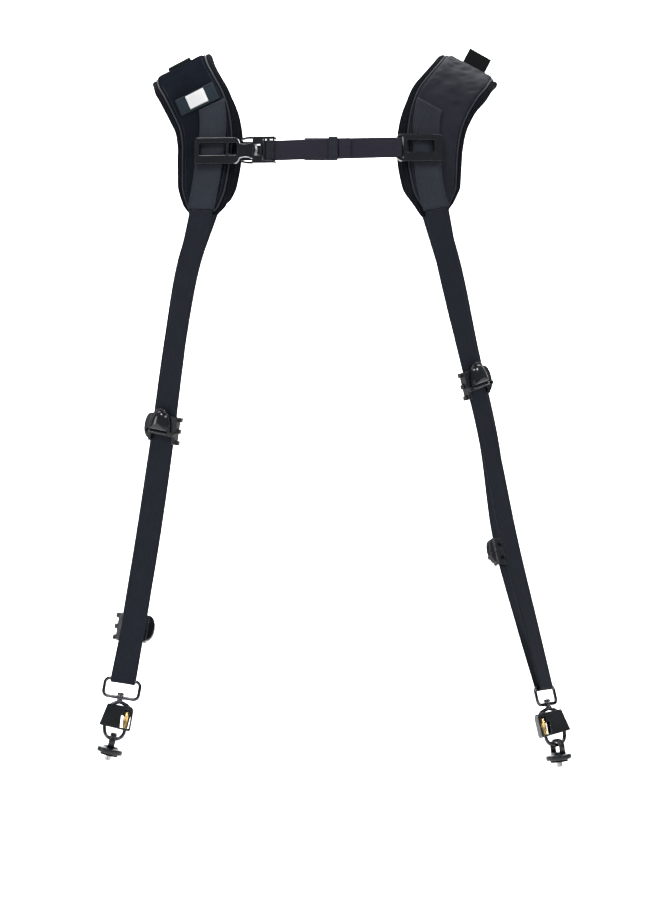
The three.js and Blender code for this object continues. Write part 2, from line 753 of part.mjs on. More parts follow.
// the hook's frame lies in the middle of the ring's lower bar, with across toward the gate
function hookFrame(side, ring) {
  const at = place(ring, 0, 0, -RING_BOTTOM);
  const along = ring.along;
  const across = squareTo(yawed(side, side.hookYaw), along);
  const out = along.clone().cross(across).multiplyScalar(side.sign);
  return { at, along, across, out };
}

// key places of the hook, in its frame
const BAR_HALF = RING_WIRE / 2 + 0.2;
const HOOK_TOP = -BAR_HALF - GAP;
const HOOK_LOW = -HOOK_LENGTH + HOOK_WIRE / 2;
const HOOK_HALF = (HOOK_WIDTH - HOOK_WIRE) / 2;
const GATE_TOP = HOOK_TOP - 8;
const GATE_PIVOT = GATE_TOP - GATE_WIRE / 2;
const GATE_LOW = HOOK_LOW + 10.5;
const GATE_PLACE = HOOK_HALF - 0.6;

// a round wire along points, with flat ends
function wire(points, diameter, sides = 8) {
  const path = new THREE.CatmullRomCurve3(points, false, "centripetal");
  const shape = new THREE.Shape();
  shape.absarc(0, 0, diameter / 2, 0, 2 * Math.PI);
  const outline = new THREE.Shape(shape.getSpacedPoints(sides).slice(0, sides));
  const settings = { steps: points.length * 2, extrudePath: path, bevelEnabled: false };
  return new THREE.ExtrudeGeometry(outline, settings);
}

// the hook: a riveted stem through the ring's bar, a shoulder with the gate's lug, the spine and the bow
function hookBody() {
  const r = STEM_DIAMETER / 2;
  const headLow = BAR_HALF + GAP;
  const collarLow = HOOK_TOP - 3.4;
  const stem = turned([
    [0, collarLow],
    [STEM_COLLAR / 2, collarLow],
    [STEM_COLLAR / 2, HOOK_TOP],
    [r, HOOK_TOP],
    [r, headLow + 1],
    [0, headLow + 1],
  ], 16);
  const half = STEM_HEAD / 2;
  const head = box([-half, -half * 0.8, headLow], [half, half * 0.8, headLow + 3]);
  const shoulder = HOOK_TOP - 2.2;
  const back = wire([
    vector(0.6, 0, shoulder),
    vector(-HOOK_HALF * 0.55, 0, shoulder - 2.6),
    vector(-HOOK_HALF * 0.9, 0, shoulder - 8),
    vector(-HOOK_HALF, 0, shoulder - HOOK_LENGTH * 0.34),
    vector(-HOOK_HALF, 0, HOOK_LOW + HOOK_HALF),
    vector(-HOOK_HALF * 0.78, 0, HOOK_LOW + HOOK_HALF * 0.34),
    vector(-HOOK_HALF * 0.42, 0, HOOK_LOW + HOOK_HALF * 0.06),
    vector(0, 0, HOOK_LOW),
    vector(HOOK_HALF * 0.42, 0, HOOK_LOW + HOOK_HALF * 0.06),
    vector(HOOK_HALF * 0.78, 0, HOOK_LOW + HOOK_HALF * 0.34),
    vector(GATE_PLACE, 0, GATE_LOW - GAP - 2.5),
    vector(GATE_PLACE, 0, GATE_LOW - GAP),
  ], HOOK_WIRE);
  const lug = wire([
    vector(-0.6, 0, shoulder),
    vector(HOOK_HALF * 0.5, 0, shoulder - 1.2),
    vector(GATE_PLACE, 0, GATE_TOP + GAP + 2),
    vector(GATE_PLACE, 0, GATE_TOP + GAP),
  ], HOOK_WIRE);
  return joined(stem, head, back, lug);
}

// the gate: a straight bar between the lug and the end of the bow, with the round knuckle it turns on
function gateBody() {
  const length = GATE_PIVOT - GATE_LOW;
  const bar = rod(GATE_WIRE, length, 2, 12).translate(GATE_PLACE, 0, GATE_LOW + length / 2);
  const knuckle = rod(GATE_WIRE, GATE_WIRE * 0.8, 1, 16).translate(GATE_PLACE, 0, GATE_PIVOT);
  return joined(bar, knuckle);
}

// the screw sleeve on the gate, with long slots between its tines
function gateSleeve() {
  const low = GATE_LOW + 1.5;
  const high = low + SLEEVE_LENGTH;
  const r = SLEEVE_DIAMETER / 2;
  const bore = GATE_WIRE / 2 + GAP;
  const tube = turned([
    [bore, low],
    [r * 0.8, low],
    [r, low + 1.5],
    [r, low + SLEEVE_LENGTH * 0.7],
    [r * 0.72, high],
    [bore, high],
    [bore, low],
  ], 16);
  const slotLow = low + 2.5;
  const slotHigh = low + SLEEVE_LENGTH * 0.68;
  const slots = [-1, 1].map((i) =>
    box([-0.6, i > 0 ? r * 0.75 : -r - 1, slotLow], [0.6, i > 0 ? r + 1 : -r * 0.75, slotHigh]),
  );
  return cut(tube, ...slots).translate(GATE_PLACE, 0, 0);
}

// the cover: a channel round the spine with a window and a rail round the gate
function coverBody() {
  const top = HOOK_TOP - 5.5;
  const low = GATE_LOW - 0.5;
  const spineTop = -HOOK_HALF - HOOK_WIRE / 2 + 1;
  const spineLow = -HOOK_HALF - HOOK_WIRE / 2 - GAP - COVER_WALL;
  const rail = GATE_PLACE + SLEEVE_DIAMETER / 2 + 2.2;
  const outline = (grow) => {
    const shape = new THREE.Shape();
    shape.moveTo(spineTop - 2.6 - grow, top + (grow ? 1 : 0));
    shape.lineTo(rail - 2 + grow, top + (grow ? 1 : 0));
    shape.lineTo(rail + grow, top - 3);
    shape.lineTo(rail + grow, low + 1.5);
    shape.lineTo(rail - 1.5, low - (grow ? 1 : 0));
    shape.lineTo(spineLow - 1.2 - grow, low + 2 - (grow ? 3 : 0));
    return shape;
  };
  const inner = new THREE.Shape();
  inner.moveTo(spineTop - 1.4, top + 2);
  inner.lineTo(rail - COVER_WALL, top + 2);
  inner.lineTo(rail - COVER_WALL, low - 2);
  inner.lineTo(spineLow + COVER_WALL - 1.2, low - 2);
  const window = new THREE.Shape();
  const windowTop = top - 9.5;
  window.moveTo(GATE_PLACE - SLEEVE_DIAMETER / 2 - 2.4, windowTop);
  window.lineTo(rail - 1.8, windowTop);
  window.lineTo(rail - 1.8, low + 2.2);
  window.lineTo(GATE_PLACE - SLEEVE_DIAMETER / 2 - 1.6, low + 2.2);
  const shell = plate(outline(0), COVER_DEPTH);
  const channel = plate(inner, COVER_DEPTH - 2 * COVER_WALL);
  const opening = plate(window, COVER_DEPTH + 2);
  return cut(shell, channel, opening);
}

// the fastener's frame: its origin is the middle of the bow's wire, about which it swings
function fastenerFrame(side, hook) {
  const at = place(hook, 0, 0, HOOK_LOW);
  const lean = degrees(side.fastenerLean);
  const along = vector(-side.sign * Math.sin(lean), 0, Math.cos(lean));
  const across = squareTo(yawed(side, side.hookYaw + side.eyeYaw), along);
  const out = along.clone().cross(across).multiplyScalar(side.sign);
  return { at, along, across, out };
}

// heights below the bow's wire, in the fastener's frame
const EYE_TOP = HOOK_WIRE / 2 + 4 * GAP + EYE_THICKNESS / 2;
const EYE_CENTRE = EYE_TOP - EYE_RADIUS;
const DISC_TOP = EYE_CENTRE - EYE_HEIGHT;
const DISC_LOW = DISC_TOP - DISC_THICKNESS;
const WASHER_LOW = DISC_LOW - GAP - WASHER_THICKNESS;

// the fastener: a flat eye on a flared boss and a round disc
function fastenerBody() {
  const points = [vector(0, -EYE_RADIUS, DISC_TOP)];
  const steps = 10;
  for (let i = 0; i <= steps; i++) {
    const angle = Math.PI - (Math.PI * i) / steps;
    points.push(vector(0, EYE_RADIUS * Math.cos(angle), EYE_CENTRE + EYE_RADIUS * Math.sin(angle)));
  }
  points.push(vector(0, EYE_RADIUS, DISC_TOP));
  const frames = framesAlong(points, points.map(() => vector(1, 0, 0)), 1);
  const eye = ribbon(frames, EYE_BAND, EYE_THICKNESS);
  const r = DISC_DIAMETER / 2;
  const base = turned([
    [0, DISC_LOW],
    [r - 0.8, DISC_LOW],
    [r, DISC_LOW + 0.8],
    [r, DISC_TOP - 1.6],
    [r - 1.4, DISC_TOP - 0.6],
    [BOSS_DIAMETER / 2 + 1.5, DISC_TOP - 0.4],
    [BOSS_DIAMETER / 2, DISC_TOP + BOSS_HEIGHT * 0.3],
    [BOSS_DIAMETER / 2 - 1.5, DISC_TOP + BOSS_HEIGHT * 0.6],
    [0, DISC_TOP + BOSS_HEIGHT * 0.6],
  ], 20);
  return joined(eye, base);
}

function washerBody() {
  const bore = STUD_DIAMETER / 2 + GAP;
  const r = WASHER_DIAMETER / 2;
  return turned([
    [bore, WASHER_LOW],
    [r, WASHER_LOW],
    [r, WASHER_LOW + WASHER_THICKNESS],
    [bore, WASHER_LOW + WASHER_THICKNESS],
    [bore, WASHER_LOW],
  ], 16);
}

function studBody() {
  const length = DISC_LOW - GAP - WASHER_LOW + STUD_LENGTH;
  return rod(STUD_DIAMETER, length, 2, 16).translate(0, 0, DISC_LOW - GAP - length / 2);
}

// the chest strap's frames: across points inward along the strap, along points up
function chestFrame(side, pad, lift) {
  const frame = padFrame(pad, FRAME_SECTION);
  const across = vector(frame.across.x, frame.across.y, 0).normalize();
  const out = squareTo(frame.out, across);
  const along = across.clone().cross(out).multiplyScalar(side.sign);
  return { at: place(frame, FRAME_OFFSET, FRAME_LEVEL, lift), along, across, out };
}

// a window in a chest frame between two places along it, for the pad's webbing
const WINDOW_SHIFT = 1.6;
const WINDOW_LENGTH = 27.6;
const frameWindow = (from, to) => {
  const half = FRAME_WINDOW_HEIGHT / 2;
  return roundedRectangle(from, WINDOW_SHIFT - half, to, WINDOW_SHIFT + half, 1);
};
const BAR_PLACE = FRAME_LENGTH / 2 - LOOP_BAR / 2;

// the frame with the buckle's socket, on the left of the photograph's view
function socketFrame() {
  const half = FRAME_LENGTH / 2;
  const tall = FRAME_HEIGHT / 2;
  const neck = SOCKET_WAIST / 2;
  const end = half + SOCKET_LENGTH;
  const shape = new THREE.Shape();
  shape.moveTo(-half + 2, -tall);
  shape.lineTo(half - 6, -tall);
  shape.quadraticCurveTo(half - 1, -tall + 1, half - 0.5, -neck - 1);
  shape.quadraticCurveTo(half + SOCKET_LENGTH * 0.5, -neck + 1.5, end - 2, -neck - 1.6);
  shape.lineTo(end, -neck - 1.6);
  shape.lineTo(end, neck + 1.6);
  shape.lineTo(end - 2, neck + 1.6);
  shape.quadraticCurveTo(half + SOCKET_LENGTH * 0.5, neck - 1.5, half - 0.5, neck + 1);
  shape.quadraticCurveTo(half - 1, tall - 1, half - 6, tall);
  shape.lineTo(-half + 2, tall);
  shape.quadraticCurveTo(-half, tall, -half, tall - 3);
  shape.lineTo(-half, -tall + 3);
  shape.quadraticCurveTo(-half, -tall, -half + 2, -tall);
  const first = -half + 4.5;
  const second = first + WINDOW_LENGTH + LOOP_BAR;
  shape.holes.push(frameWindow(first, first + WINDOW_LENGTH), frameWindow(second, half - 2.5));
  return plate(shape, FRAME_THICKNESS);
}

// the frame on the right of the photograph's view, with the bar that the chest webbing turns round
function barFrame() {
  const half = FRAME_LENGTH / 2;
  const tall = FRAME_HEIGHT / 2;
  const slot = CHEST_WEBBING_WIDTH / 2 + 2 * GAP;
  const slotInner = half - LOOP_BAR - STRAP_THICKNESS - 5 * GAP;
  const shape = new THREE.Shape();
  shape.moveTo(-half + 2, -tall);
  shape.lineTo(half - 9, -tall - 0.6);
  shape.quadraticCurveTo(half - 3, -tall - 1.6, half, -slot - 1.2);
  shape.lineTo(half, slot + 1.2);
  shape.quadraticCurveTo(half - 3, tall + 0.6, half - 9, tall);
  shape.lineTo(-half + 2, tall);
  shape.quadraticCurveTo(-half, tall, -half, tall - 3);
  shape.lineTo(-half, -tall + 3);
  shape.quadraticCurveTo(-half, -tall, -half + 2, -tall);
  const windowInner = slotInner - LOOP_BAR - 1.2;
  shape.holes.push(frameWindow(windowInner - WINDOW_LENGTH, windowInner));
  const body = plate(shape, FRAME_THICKNESS);
  const mouth = box([slotInner, -FRAME_THICKNESS, -slot], [half + 1, FRAME_THICKNESS, slot]);
  const bar = rod(LOOP_BAR, 2 * slot + 1, 2, 12).translate(BAR_PLACE, 0, 0);
  return joined(cut(body, mouth), bar);
}

// the plug: a base with an eye, two spring arms at its edges, and rails round a bar for the webbing
function plugBody() {
  const start = FRAME_LENGTH / 2 + SOCKET_LENGTH + GAP;
  const end = start + PLUG_LENGTH;
  const tall = FRAME_HEIGHT / 2;
  const deep = PLUG_THICKNESS / 2;
  const slot = CHEST_WEBBING_WIDTH / 2 + 2 * GAP;
  const solidEnd = start + PLUG_LENGTH * 0.45;
  const body = box([start, -deep, -tall], [end, deep, tall]);
  const pocket = box([solidEnd, -deep - 1, -slot], [end + 1, deep + 1, slot]);
  const bar = rod(LOOP_BAR, 2 * tall - 1, 2, 12).translate(plugBarPlace(), 0, 0);
  const rail = (at) => box([at, deep - PLUG_RAIL, -tall + 0.5], [at + 1.6, deep, tall - 0.5]);
  const eye = new THREE.Shape();
  const eyeLeft = start + 1.8;
  const eyeRight = solidEnd - 2;
  eye.moveTo(eyeLeft, -5.5);
  eye.lineTo(eyeRight, -5.5);
  eye.lineTo(eyeRight, 5.5);
  eye.lineTo(eyeLeft, 5.5);
  eye.quadraticCurveTo(eyeLeft + 2.4, 0, eyeLeft, -5.5);
  const reach = SOCKET_LENGTH - 1.5;
  const arms = [-1, 1].map((i) => {
    const arm = new THREE.Shape();
    arm.moveTo(start + 1, i * (tall - 2.4));
    arm.lineTo(start + 1, i * tall);
    arm.quadraticCurveTo(start - reach * 0.5, i * (tall + 1.2), start - reach, i * (tall - 1.4));
    arm.lineTo(start - reach, i * (tall - 3.4));
    arm.quadraticCurveTo(start - reach * 0.5, i * (tall - 1.2), start + 1, i * (tall - 2.4));
    return plate(arm, FRAME_THICKNESS);
  });
  const base = cut(body, pocket, plate(eye, PLUG_THICKNESS + 2));
  return joined(base, bar, rail(solidEnd + 1.2), rail(end - 1.6), ...arms);
}

const plugBarPlace = () => FRAME_LENGTH / 2 + SOCKET_LENGTH + GAP + PLUG_LENGTH * 0.45 + BAR_TURN + 2.4;

// the chest webbing: from its stitched end, round the right frame's bar, across the chest, round the
// plug's bar and back along the front as the tail, which ends in a folded hem
function chestWebbing(leftFrame, rightFrame) {
  const plugBar = { ...leftFrame, at: place(leftFrame, plugBarPlace(), 0, 0) };
  const frameBar = { ...rightFrame, at: place(rightFrame, BAR_PLACE, 0, 0) };
  const layer = STRAP_THICKNESS + GAP;
  const rightExit = place(frameBar, BAR_TURN, -BAR_TURN * 0.4, 0);
  const leftExit = place(plugBar, BAR_TURN * 2.2, -BAR_TURN * 0.6, 0);
  const span = rightExit.clone().sub(leftExit);
  const middle = leftExit.clone().addScaledVector(span, 0.5).add(vector(0, -CHEST_BULGE, 0));
  const control = [
    place(frameBar, 0, BAR_TURN, 0),
    place(frameBar, BAR_TURN * 2.6, BAR_TURN * 0.75, 0),
    middle,
    place(plugBar, BAR_TURN * 2.6, -BAR_TURN * 0.75, 0),
    place(plugBar, 0, -BAR_TURN, 0),
  ];
  const upright = vector(0, 0, 1);
  const turn = [frameBar.along, frameBar.along, upright, plugBar.along, plugBar.along];
  const line = new THREE.CatmullRomCurve3(control, false, "centripetal");
  const turnLine = new THREE.CatmullRomCurve3(turn, false, "centripetal");
  const steps = 20;
  const points = [];
  const up = [];
  const lap = 22;
  points.push(place(frameBar, lap, BAR_TURN * 0.75 - layer, 0));
  points.push(place(frameBar, BAR_TURN * 3.2, BAR_TURN * 0.75 - layer - 0.4, 0));
  points.push(place(frameBar, BAR_TURN, -BAR_TURN, 0));
  for (let i = 0; i < TURN_STEPS; i++) {
    const angle = -Math.PI / 2 + (Math.PI * i) / TURN_STEPS;
    points.push(place(frameBar, -BAR_TURN * Math.cos(angle), BAR_TURN * Math.sin(angle), 0));
  }
  points.forEach(() => up.push(frameBar.along));
  points.push(...line.getPoints(steps));
  up.push(...turnLine.getPoints(steps));
  for (let i = 1; i <= TURN_STEPS; i++) {
    const angle = -Math.PI / 2 + (Math.PI * i) / TURN_STEPS;
    points.push(place(plugBar, -BAR_TURN * Math.cos(angle), BAR_TURN * Math.sin(angle), 0));
    up.push(plugBar.along);
  }
  const forward = squareTo(vector(0, -1, 0), span.clone().normalize());
  const tailStart = 3;
  for (let i = 0; i <= steps; i++) {
    const point = line.getPoint(1 - i / steps);
    const run = point.distanceTo(place(plugBar, 0, -BAR_TURN, 0));
    if (run > tailStart * BAR_TURN && run <= TAIL_LENGTH - 2) {
      points.push(point.addScaledVector(forward, layer + 0.15));
      up.push(turnLine.getPoint(1 - i / steps));
    }
  }
  const last = pointAtDistance(line, place(plugBar, 0, -BAR_TURN, 0), TAIL_LENGTH);
  points.push(last.addScaledVector(forward, layer + 0.15));
  up.push(up.at(-1));
  const fold = layer / 2;
  const run = points.at(-1).clone().sub(points.at(-2)).normalize();
  const edge = points.at(-1).clone();
  const foldAt = (ahead, out) => {
    points.push(edge.clone().addScaledVector(run, ahead).addScaledVector(forward, out));
    up.push(up.at(-1));
  };
  foldAt(fold * 0.8, fold * 0.4);
  foldAt(fold, fold);
  foldAt(fold * 0.8, fold * 1.6);
  foldAt(0, 2 * fold);
  foldAt(-HEM_LENGTH / 2, 2 * fold + 0.2);
  foldAt(-HEM_LENGTH, 2 * fold + 0.2);
  const frames = framesAlong(points, up, -1);
  const geometry = ribbon(frames, CHEST_WEBBING_WIDTH, STRAP_THICKNESS);
  return { geometry, line, layer, forward, start: leftExit };
}

// the keeper: a band of webbing round both layers of the chest strap
function keeper(chest) {
  const at = pointAtDistance(chest.line, chest.start, KEEPER_PLACE);
  const ahead = pointAtDistance(chest.line, chest.start, KEEPER_PLACE + 2);
  const along = vector(0, 0, 1);
  const across = squareTo(ahead.sub(at), along).normalize();
  const out = squareTo(squareTo(chest.forward, along), across);
  const frame = { at: at.addScaledVector(out, chest.layer / 2), along, across, out };
  const deep = chest.layer / 2 + STRAP_THICKNESS / 2 + 3 * GAP;
  const tall = CHEST_WEBBING_WIDTH / 2 + 2 * GAP;
  const half = KEEPER_WIDTH / 2;
  const body = box(
    [-half, -deep - KEEPER_WALL, -tall - KEEPER_WALL],
    [half, deep + KEEPER_WALL, tall + KEEPER_WALL],
  );
  return { frame, body: cut(body, box([-half - 1, -deep, -tall], [half + 1, deep, tall])) };
}

// the point of a line at a distance from a start point near its far end
function pointAtDistance(line, start, distance) {
  const points = line.getPoints(400).reverse();
  return points.find((point) => point.distanceTo(start) >= distance).clone();
}

// the back strap: sewn to both rear pads beside their webbing, with a plain slider in its middle
function backStrap(leftPad, rightPad) {
  const ends = [leftPad, rightPad].map((pad) => {
    const frame = padFrame(pad, BACK_STRAP_SECTION, true);
    const level = WEBBING_LEVEL + GAP;
    return {
      seam: place(frame, STRAP_WIDTH / 2 + GAP, level, 0),
      edge: place(frame, PAD_WIDTH / 2 + 2, level, 0),
      up: frame.along.clone().multiplyScalar(-1),
    };
  });
  const [left, right] = ends;
  const middle = left.edge.clone().lerp(right.edge, 0.5).add(vector(0, BACK_BULGE, 0));
  const line = new THREE.CatmullRomCurve3([left.edge, middle, right.edge], false, "centripetal");
  const points = [left.seam, ...line.getPoints(12), right.seam];
  const up = points.map(() => vector(0, 0, 1));
  up.splice(0, 2, left.up, left.up);
  up.splice(-2, 2, right.up, right.up);
  const webbing = ribbon(framesAlong(points, up, 1), CHEST_WEBBING_WIDTH, STRAP_THICKNESS);
  const half = SLIDER_LENGTH / 2;
  const deep = STRAP_THICKNESS / 2 + 3 * GAP;
  const tall = CHEST_WEBBING_WIDTH / 2 + 2 * GAP;
  const along = vector(0, 0, 1);
  const across = squareTo(right.edge.clone().sub(left.edge), along);
  const frame = { at: line.getPoint(0.5), along, across, out: along.clone().cross(across) };
  const body = box(
    [-half, -deep - SLIDER_WALL / 2, -tall - SLIDER_WALL],
    [half, deep + SLIDER_WALL / 2, tall + SLIDER_WALL],
  );
  const slot = box([-half - 1, -deep, -tall], [half + 1, deep, tall]);
  const windows = [-1, 1].map((i) =>
    box(
      [(i * half) / 2 - half * 0.32, 0, -tall + 1],
      [(i * half) / 2 + half * 0.32, deep + SLIDER_WALL, tall - 1],
    ),
  );
  return { webbing, frame, slider: cut(body, slot, ...windows) };
}

const harness = new THREE.Group();
const add = (...pieces) => harness.add(...pieces);
const frameOf = {};

for (const side of SIDES) {
  const pad = padOf(side);
  const suffix = "_" + side.name;
  add(named("pad" + suffix, padBase(pad), meshMaterial));
  add(named("pad_panel" + suffix, padPanel(pad), panelMaterial));
  add(named("pad_webbing_front" + suffix, frontWebbing(pad), webbingMaterial));
  add(named("pad_webbing_rear" + suffix, rearWebbing(side, pad), webbingMaterial));

  const ring = ringFrame(side, pad);
  const strap = strapOf(side, pad, ring);
  add(named("strap" + suffix, strapBody(strap), webbingMaterial));
  for (const stop of side.stops) {
    const frame = stopFrame(side, strap, stop);
    add(named(stop.name, stopBody(), plasticMaterial, frame));
    add(named(stop.name + "_lever", stopLever(), plasticMaterial, frame));
  }

  const hook = hookFrame(side, ring);
  add(named("ring" + suffix, ringBody(), steelMaterial, ring));
  add(named("hook" + suffix, hookBody(), steelMaterial, hook));
  add(named("gate" + suffix, gateBody(), steelMaterial, hook));
  add(named("gate_sleeve" + suffix, gateSleeve(), brassMaterial, hook));
  add(named("hook_cover" + suffix, coverBody(), plasticMaterial, hook));

  const fastener = fastenerFrame(side, hook);
  add(named("fastener" + suffix, fastenerBody(), plasticMaterial, fastener));
  add(named("fastener_washer" + suffix, washerBody(), plasticMaterial, fastener));
  add(named("fastener_stud" + suffix, studBody(), steelMaterial, fastener));
  frameOf[side.name] = { pad, ring, hook, fastener, chest: chestFrame(side, pad, FRAME_LIFTS[side.name]) };
}

const leftPad = frameOf.left.pad;
const band = padPatch(leftPad, BAND_SECTIONS, BAND_LENGTH, WEBBING_LEVEL, STRAP_THICKNESS);
const label = padPatch(leftPad, LABEL_SECTIONS, LABEL_WIDTH, LABEL_LEVEL, LABEL_THICKNESS);
add(named("cross_band", band, bandMaterial));
add(named("label", label, labelMaterial));

add(named("chest_frame_left", socketFrame(), plasticMaterial, frameOf.left.chest));
add(named("chest_plug", plugBody(), plasticMaterial, frameOf.left.chest));
add(named("chest_frame_right", barFrame(), plasticMaterial, frameOf.right.chest));
const chest = chestWebbing(frameOf.left.chest, frameOf.right.chest);
add(named("chest_webbing", chest.geometry, chestWebbingMaterial));
const loop = keeper(chest);
add(named("chest_keeper", loop.body, webbingMaterial, loop.frame));

const back = backStrap(frameOf.left.pad, frameOf.right.pad);
add(named("back_strap", back.webbing, webbingMaterial));
add(named("back_slider", back.slider, plasticMaterial, back.frame));

export default harness;
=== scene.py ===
"""Looks of the dual camera harness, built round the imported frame.

Lengths in this script are millimetres in the frame of the part, and are turned into metres where a mesh
is made. +X is to the viewer's right, the front faces -Y and +Z is up.
"""

import math

import bmesh
import bpy
import numpy as np
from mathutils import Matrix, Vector, noise


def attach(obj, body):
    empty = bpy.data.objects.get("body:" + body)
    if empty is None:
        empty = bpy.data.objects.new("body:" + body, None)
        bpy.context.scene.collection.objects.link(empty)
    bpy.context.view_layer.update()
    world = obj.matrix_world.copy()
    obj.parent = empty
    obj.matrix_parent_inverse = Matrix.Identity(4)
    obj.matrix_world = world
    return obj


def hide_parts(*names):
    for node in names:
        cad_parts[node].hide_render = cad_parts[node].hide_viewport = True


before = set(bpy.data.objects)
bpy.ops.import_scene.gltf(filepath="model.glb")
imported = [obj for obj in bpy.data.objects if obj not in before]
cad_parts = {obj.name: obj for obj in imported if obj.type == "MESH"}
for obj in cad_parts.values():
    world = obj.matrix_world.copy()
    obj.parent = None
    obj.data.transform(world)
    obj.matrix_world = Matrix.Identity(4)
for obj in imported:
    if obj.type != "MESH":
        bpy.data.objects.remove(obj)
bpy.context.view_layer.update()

MM = 0.001
UP = np.array([0.0, 0.0, 1.0])

CAMERA_PLACE = (0.004, -4.6, -0.387)
CAMERA_LENS = 120
SENSOR_HEIGHT = 24

camera_data = bpy.data.cameras.new("camera")
camera_data.sensor_fit = "VERTICAL"
camera_data.sensor_height = SENSOR_HEIGHT
camera_data.lens = CAMERA_LENS
camera = bpy.data.objects.new("camera", camera_data)
camera.location = CAMERA_PLACE
camera.rotation_euler = (math.radians(90), 0, 0)
bpy.context.scene.collection.objects.link(camera)
bpy.context.scene.camera = camera

# Sizes shared with the part's source
GAP = 0.3
PAD_WIDTH = 68
PAD_THICKNESS = 8
PAD_FRONT_DROP = 152
PAD_REAR_DROP = 132
CHEST_DEPTH = 108
BACK_DEPTH = 112
PANEL_THICKNESS = 1.6
PANEL_MARGIN = 7.5
STRAP_WIDTH = 25.4
STRAP_THICKNESS = 1.8
PAD_WEBBING_WIDTH = 28
CHEST_WEBBING_WIDTH = 20
BAND_LENGTH = 42
BAND_OFFSET = 1.5
LABEL_WIDTH = 20
LABEL_THICKNESS = 0.8
RING_DEPTH = 60
STRAP_BOW = 10
RING_WIRE = 3.5
RING_WIDTH = 40.5
RING_HEIGHT = 21.5
RING_CORNER = 5
RING_BOSS = 8
STEM_DIAMETER = 3.6
STEM_HEAD = 7
STEM_COLLAR = 6.4
HOOK_WIRE = 3.8
HOOK_WIDTH = 25
HOOK_LENGTH = 44
GATE_WIRE = 3.4
SLEEVE_DIAMETER = 7.2
SLEEVE_LENGTH = 17
EYE_BAND = 6.5
EYE_THICKNESS = 3.4
EYE_RADIUS = 6.8
EYE_HEIGHT = 7
DISC_DIAMETER = 26
DISC_THICKNESS = 6
BOSS_DIAMETER = 15
FRAME_LENGTH = 46
FRAME_THICKNESS = 5
SOCKET_LENGTH = 13.5
PLUG_LENGTH = 22.5
LOOP_BAR = 2.6
STOP_WALL = 2.4
STOP_HEIGHT = 28
LEVER_WIDTH = 26
LEVER_HEIGHT = 24
LEVER_RIM = 1.6
LEVER_DOME = 4.6
LEVER_BARREL = 3
LEVER_SHIFT = 3
LEVER_HINGE = -STOP_HEIGHT / 2 + 10
TAIL_LENGTH = 79
HEM_LENGTH = 9.5
CHEST_BULGE = 9
KEEPER_MARGIN = 11
KEEPER_PLACE = TAIL_LENGTH - HEM_LENGTH - KEEPER_MARGIN
KEEPER_WIDTH = 9
KEEPER_WALL = 1.3
BACK_STRAP_SECTION = 3.73
BACK_BULGE = 6

PANEL_LEVEL = PAD_THICKNESS / 2 + GAP + PANEL_THICKNESS / 2
WEBBING_LEVEL = PANEL_LEVEL + PANEL_THICKNESS / 2 + GAP + STRAP_THICKNESS / 2
FRAME_LEVEL = WEBBING_LEVEL + STRAP_THICKNESS / 2 + GAP + FRAME_THICKNESS / 2
LABEL_LEVEL = WEBBING_LEVEL + STRAP_THICKNESS / 2 + GAP + LABEL_THICKNESS / 2
RING_TURN = RING_WIRE / 2 + GAP + STRAP_THICKNESS / 2
BAR_TURN = LOOP_BAR / 2 + GAP + STRAP_THICKNESS / 2
FRAME_SECTION = 3.65
FRAME_OFFSET = 13
FRAME_LIFTS = {"left": -3, "right": -0.5}
BAR_PLACE = FRAME_LENGTH / 2 - LOOP_BAR / 2

# Pad sections from the front end up to the crest: drop share, depth share, slope and yaw in degrees
PAD_SECTIONS = [
    (1.0, 0.981, 0, 20),
    (0.945, 0.991, 0, 19),
    (0.84, 1.0, 0, 17),
    (0.676, 1.0, 1, 14),
    (0.523, 0.985, 3, 13),
    (0.388, 0.93, 9, 12),
    (0.276, 0.83, 16, 10),
    (0.17, 0.68, 21, 6),
    (0.075, 0.44, 25, 3),
    (0.02, 0.2, 27, 1),
    (0.0, -0.02, 27.5, 0),
]

